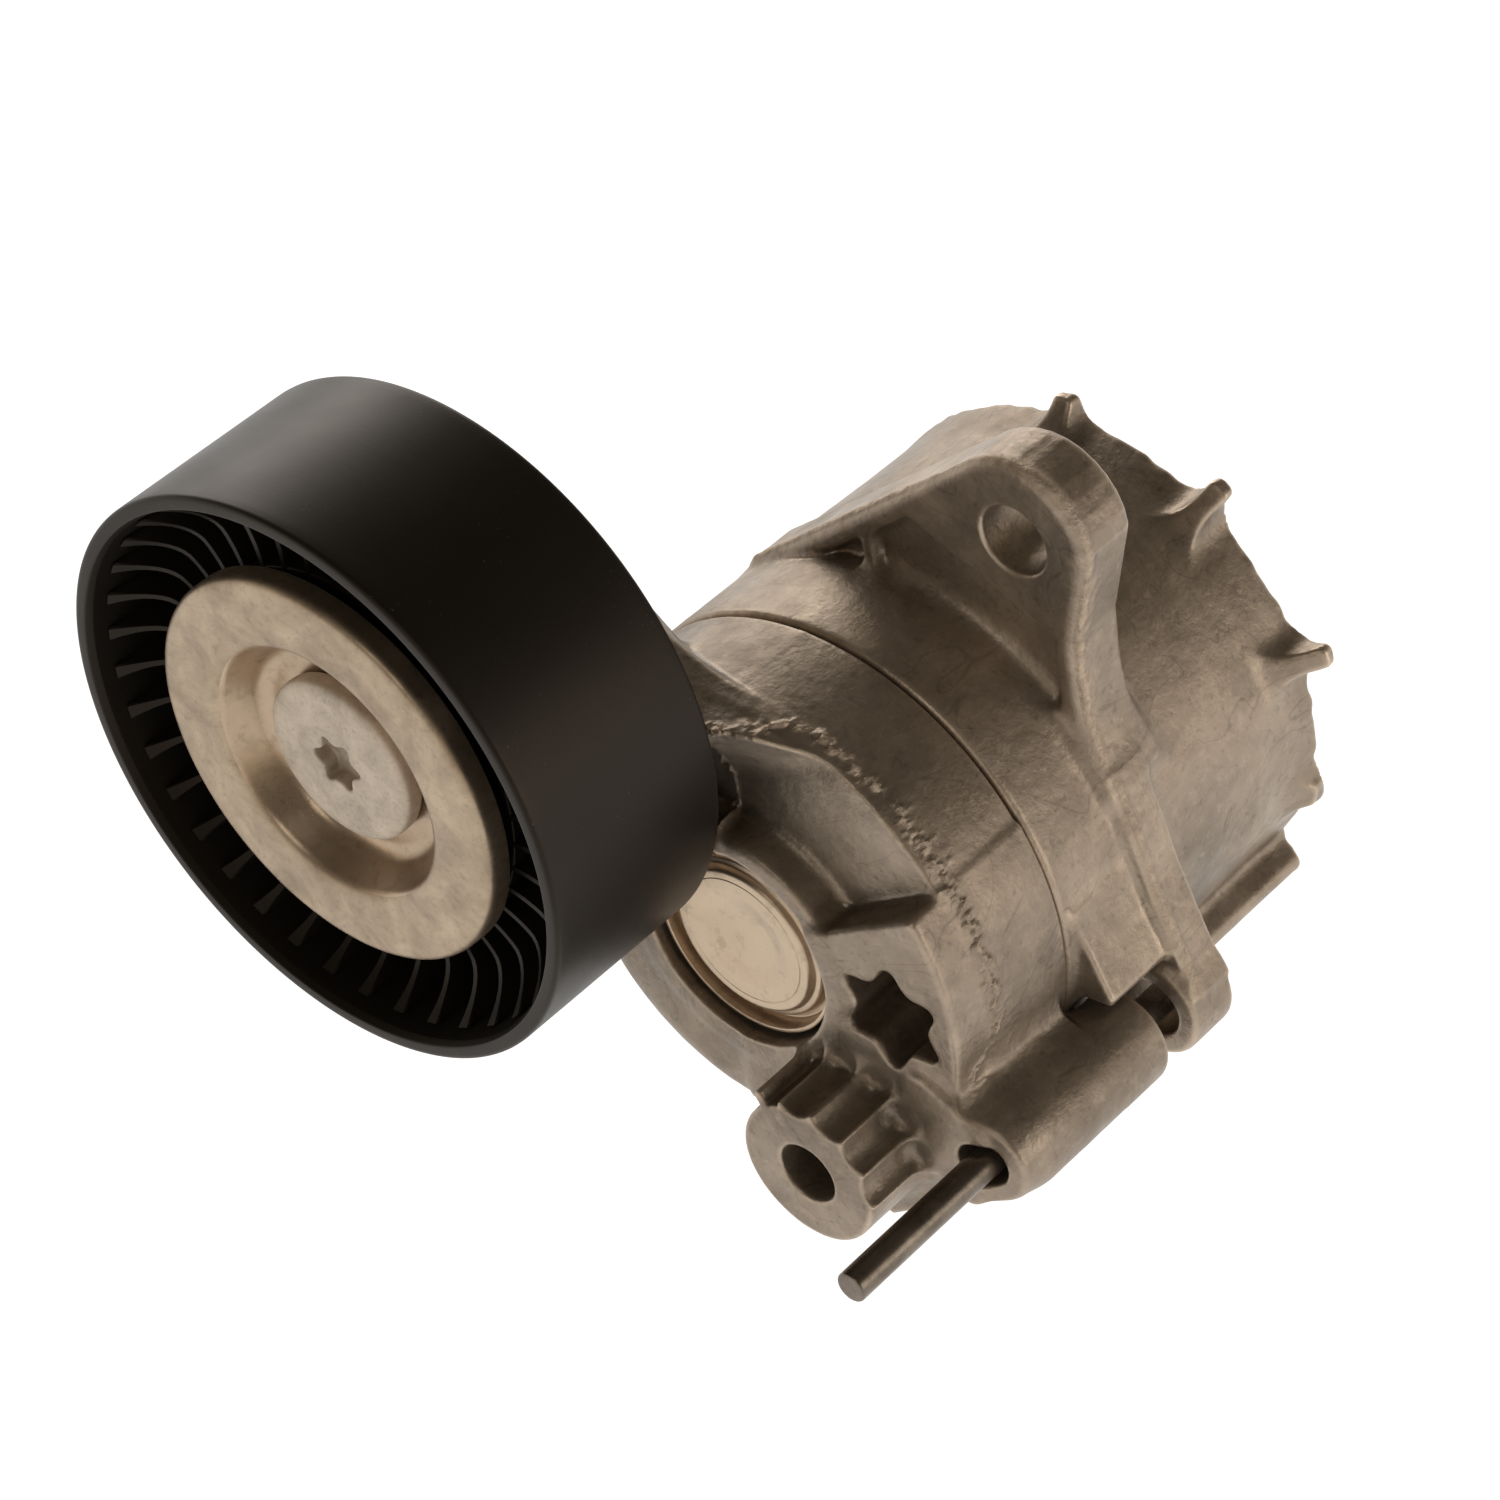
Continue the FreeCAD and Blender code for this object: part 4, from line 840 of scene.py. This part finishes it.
def dress(obj, material):
    obj.data.materials.clear()
    obj.data.materials.append(material)
    return obj


def place(obj, material, body, slot, *nodes):
    dress(obj, material)
    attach(obj, body)
    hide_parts(*nodes)
    return obj


# ---- pieces ------------------------------------------------------------------------------------

def build_castings():
    lo, hi = box_mm("base_housing")
    lug_lo, lug_hi = box_mm("housing_pin_lug")
    lo, hi = np.minimum(lo, lug_lo), np.maximum(hi, lug_hi)
    housing = field_mesh("housing_cast", housing_field, lo, hi, 0.35, housing_rough)
    place(housing, CAST_HOUSING, "base", "cast_aluminium", "base_housing", "housing_pin_lug")
    lo, hi = box_mm("arm_casting")
    arm = field_mesh("arm_cast", arm_field, lo, hi, 0.34, arm_rough)
    place(arm, CAST_ARM, "arm", "cast_aluminium", "arm_casting")


def build_pulley():
    """Rim, web and hub lathed as one skin, and the ribs as separate thin fins joined to it."""
    f, b = PULLEY_FRONT, PULLEY_BACK
    mid = (BEARING_FRONT + BEARING_BACK) / 2
    R = 35.0
    outer = fillet([
        (20.0, BEARING_FRONT), (20.0, BEARING_BACK), (20.0, BEARING_BACK + 0.8),
        (22.4, BEARING_BACK + 0.8, 0.4),
        (22.9, mid + 1.2, 0.8), (32.1, mid + 1.2, 1.6), (32.5, mid + 6, 0.5), (33.1, b - 1.2, 0.5),
        (33.3, b, 0.3), (R, b, 0.65), (R, b - 1.6, 0), (R, f + 1.6, 0), (R, f, 0.65),
        (33.35, f, 0.25), (33.0, f + 0.9, 0.4), (32.4, mid - 6, 0.5), (32.1, mid - 1.2, 1.6),
        (22.9, mid - 1.2, 0.8), (22.4, BEARING_FRONT - 0.8, 0.4), (20.0, BEARING_FRONT - 0.8),
        (20.0, BEARING_FRONT),
    ], 0.2)
    wheel = lathe("pulley_wheel_skin", PULLEY, outer[:-1], 256)
    place(wheel, NYLON, "pulley", "black_nylon", "pulley_wheel")
    verts, faces = [], []
    count, rows = 38, 14
    for i in range(count):
        a = 2 * math.pi * i / count
        ca, sa = math.cos(a), math.sin(a)
        for side in (-1, 1):
            start = len(verts)
            for k in range(rows + 1):
                t = k / rows
                r = 22.0 + (32.6 - 22.0) * t
                hook = 0.35 - 2.6 * t * (1 - t) ** 1.2
                rise = 4.6 * max(0.0, t - 0.45) ** 2 / 0.3025
                front = f + 7.6 - hook - rise if side < 0 else b - 7.6 + hook + rise
                back = mid + side * 0.4
                half = 0.42 + 0.5 * max(0.0, (t - 0.72) / 0.28) ** 2
                for y, w in ((front, half * 0.8), (front - side * 0.35, half), (back, half + 0.25)):
                    for s in (-1, 1):
                        off = s * w
                        verts.append((PULLEY[0] + r * ca - off * sa, y, PULLEY[1] + r * sa + off * ca))
            for k in range(rows):
                p, q = start + 6 * k, start + 6 * (k + 1)
                faces += [(p, p + 1, q + 1, q)]
                for m in (0, 2):
                    faces.append((p + m, q + m, q + m + 2, p + m + 2))
                    faces.append((p + m + 1, p + m + 3, q + m + 3, q + m + 1))
            for p in (start, start + 6 * rows):
                faces += [(p, p + 2, p + 3, p + 1), (p + 2, p + 4, p + 5, p + 3)]
            p, q = start + 4, start + 6 * rows + 4
            for k in range(rows):
                p, q = start + 6 * k + 4, start + 6 * (k + 1) + 4
                faces += [(p, q, q + 1, p + 1)]
    ribs = mesh_object("pulley_ribs", verts, faces, 30)
    dress(ribs, NYLON)
    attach(ribs, "pulley")


def build_turned():
    t = 0.9
    front = COVER_SEAT - 6.2 + t
    cover = fillet([
        (5.25, COVER_SEAT), (13.1, COVER_SEAT, 2.4), (15.7, front, 1.9), (23.86, front, 2.3),
        (23.86, front + 3.1, 0.1), (22.96, front + 3.1, 0.1), (22.96, front + t, 1.4), (16.4, front + t, 2.6),
        (13.8, COVER_SEAT + t, 2.0), (5.25, COVER_SEAT + t),
    ], 0.2, 9)
    skin = place(lathe("dust_cover_skin", PULLEY, cover, 224), ZINC, "arm", "zinc_steel", "dust_cover")
    skin.data.materials.append(ZINC_SMOOTH)
    for face in skin.data.polygons:
        at = face.center / MM
        face.material_index = int(math.hypot(at.x - PULLEY[0], at.z - PULLEY[1]) < 15.6)

    top = box_mm("front_cap")[0][1]
    back = box_mm("front_cap")[1][1]
    o = 12.3
    cap = fillet([
        (11.5, back), (o, back), (o, top + 0.1, 0.2), (11.75, top + 0.1, 0.2), (11.55, top + 2.2, 0.3),
        (10.75, top + 2.2, 0.4), (10.5, top + 0.95, 0.4), (9.7, top + 0.85, 0.3), (9.35, top + 0.02, 0.8),
        (8.3, top, 0.1), (8.2, top + 0.08, 0.1), (8.1, top, 0.1), (6.4, top, 1.6), (4.2, top + 0.5, 1.8),
        (0.0, top + 0.6),
    ], 0.3, 7)
    inner = [(0.0, top + 1.4), (4.2, top + 1.3), (6.4, top + 0.8), (8.7, top + 0.8), (9.2, top + 1.7),
             (10.0, top + 1.8), (10.3, top + 2.9), (11.5, top + 2.9), (11.5, back)]
    skin = lathe("front_cap_skin", (0, 0), cap + inner, 160, closed=False)
    place(skin, BRIGHT, "base", "bright_steel", "front_cap")

    lo, hi = box_mm("lock_pin")
    pin = fillet([(0.0, lo[1]), (1.85, lo[1], 0.32), (1.85, hi[1], 0.35), (0.0, hi[1])])
    place(lathe("lock_pin_skin", EYE, pin, 64), PIN, "lock_pin", "pin_steel", "lock_pin")

    lo, hi = box_mm("rear_shield")
    shield = fillet([
        (8.5, BEARING_BACK), (12.4, BEARING_BACK, 0.3), (13.2, BEARING_BACK + 1.2, 0.5),
        (18.2, BEARING_BACK + 1.2, 0.4), (19.2, BEARING_BACK + 2.2, 0.2), (19.2, BEARING_BACK + 2.7, 0.1),
        (17.8, BEARING_BACK + 2.2, 0.4), (12.8, BEARING_BACK + 2.2, 0.5), (12.5, BEARING_BACK + 1.0, 0.3),
        (8.5, BEARING_BACK + 1.0),
    ], 0.2)
    place(lathe("rear_shield_skin", PULLEY, shield, 160), ZINC, "arm", "zinc_steel", "rear_shield")


def build_bolt():
    """Low round head with a six-lobe recess, meshed as a distance field."""
    lo, hi = box_mm("pulley_bolt")
    recess = star_points(PULLEY, 3.35, 2.4, 3.0)

    def field(x, y, z):
        r = np.hypot(x - PULLEY[0], z - PULLEY[1])
        crown = lo[1] + 0.020 * np.maximum(r - 5.0, 0) ** 2
        head = smax(slab(r - 10.0, y, lo[1] + 0.05, COVER_SEAT, 1.3), crown - y, 0.8)
        shank = slab(r - 5.0, y, COVER_SEAT - 1, hi[1], 0.8)
        d = smin(head, shank, 0.5)
        six = slab(poly(x, z, recess), y, lo[1] - 2, lo[1] + 2.4, 0.4)
        return smax(d, -six, 0.35)

    bolt = field_mesh("pulley_bolt_skin", field, lo, hi, 0.22,
                      lambda p, n: (0.012 * noise3(p, 1.2, 31) - 0.012, np.zeros(len(p))))
    place(bolt, FLAKE, "arm", "bolt_steel", "pulley_bolt")


build_castings()
build_pulley()
build_turned()
build_bolt()

LOOKS = {
    "zinc_steel": ZINC, "bolt_steel": FLAKE, "bright_steel": BRIGHT, "pin_steel": PIN, "spring_steel": SPRING,
    "bearing_steel": INNER_STEEL, "black_rubber": RUBBER, "white_nylon": WHITE_NYLON,
    "cast_aluminium": CAST_HOUSING, "black_nylon": NYLON,
}
for part in frame["record"]["subparts"]:
    node = frame["nodes"][part["node"]]
    node.data.materials.clear()
    node.data.materials.append(LOOKS[part["material_slot"]])
    node.data.shade_smooth()


# ---- studio ------------------------------------------------------------------------------------

def make_floor():
    z = CAD_BOX[0][2] - 0.0005
    size = 6.0
    mesh = bpy.data.meshes.new("floor")
    corners = [(-size, -size, z), (size, -size, z), (size, size, z), (-size, size, z)]
    mesh.from_pydata(corners, [], [(0, 1, 2, 3)])
    floor = bpy.data.objects.new("floor", mesh)
    scene.collection.objects.link(floor)
    m = Nodes("floor")
    colour = m.ramp(m.noise(3, 2), [(0.3, (0.30, 0.30, 0.30)), (0.7, (0.32, 0.32, 0.32))])
    m.finish(colour, 0.9, 0.0, None, Emission_Strength=1.0)
    m.bsdf.inputs["Emission Color"].default_value = (1.0, 0.995, 0.985, 1)
    mesh.materials.append(m.mat)


def make_world():
    """White backdrop up to the horizon under a dark ceiling."""
    world = bpy.data.worlds.new("studio")
    scene.world = world
    world.use_nodes = True
    tree = world.node_tree
    background = tree.nodes["Background"]
    coord = tree.nodes.new("ShaderNodeTexCoord")
    height = tree.nodes.new("ShaderNodeSeparateXYZ")
    tree.links.new(coord.outputs["Generated"], height.inputs[0])
    spread = tree.nodes.new("ShaderNodeMath")
    spread.operation = "MULTIPLY_ADD"
    spread.inputs[1].default_value = 0.5
    spread.inputs[2].default_value = 0.5
    tree.links.new(height.outputs["Z"], spread.inputs[0])
    ramp = tree.nodes.new("ShaderNodeValToRGB")
    tree.links.new(spread.outputs[0], ramp.inputs["Fac"])
    stops = [(0.50, (1.15, 1.05, 0.93)), (0.56, (0.80, 0.715, 0.61)), (0.66, (0.26, 0.225, 0.18)),
             (0.84, (0.110, 0.094, 0.074)), (1.0, (0.080, 0.067, 0.051))]
    while len(ramp.color_ramp.elements) < len(stops):
        ramp.color_ramp.elements.new(0.5)
    for element, (at, colour) in zip(ramp.color_ramp.elements, stops):
        element.position = at
        element.color = (*colour, 1)
    tree.links.new(ramp.outputs["Color"], background.inputs["Color"])
    background.inputs["Strength"].default_value = 1.0


def area_light(name, at, target, size, power, colour=(1, 0.97, 0.92)):
    data = bpy.data.lights.new(name, "AREA")
    data.shape = "RECTANGLE"
    data.size, data.size_y = size
    data.energy = power
    data.color = colour
    light = bpy.data.objects.new(name, data)
    light.location = at
    light.rotation_mode = "QUATERNION"
    light.rotation_quaternion = (Vector(target) - Vector(at)).to_track_quat("-Z", "Y")
    scene.collection.objects.link(light)


make_floor()
make_world()
MIDDLE = (CAD_BOX[0] + CAD_BOX[1]) / 2
area_light("key", (-0.62, 0.38, 0.24), MIDDLE, (0.60, 0.35), 2.4)
area_light("front", (0.10, -0.70, 0.62), MIDDLE, (0.30, 0.30), 0.5)
area_light("side", (0.62, 0.10, 0.20), MIDDLE, (0.35, 0.35), 0.9)
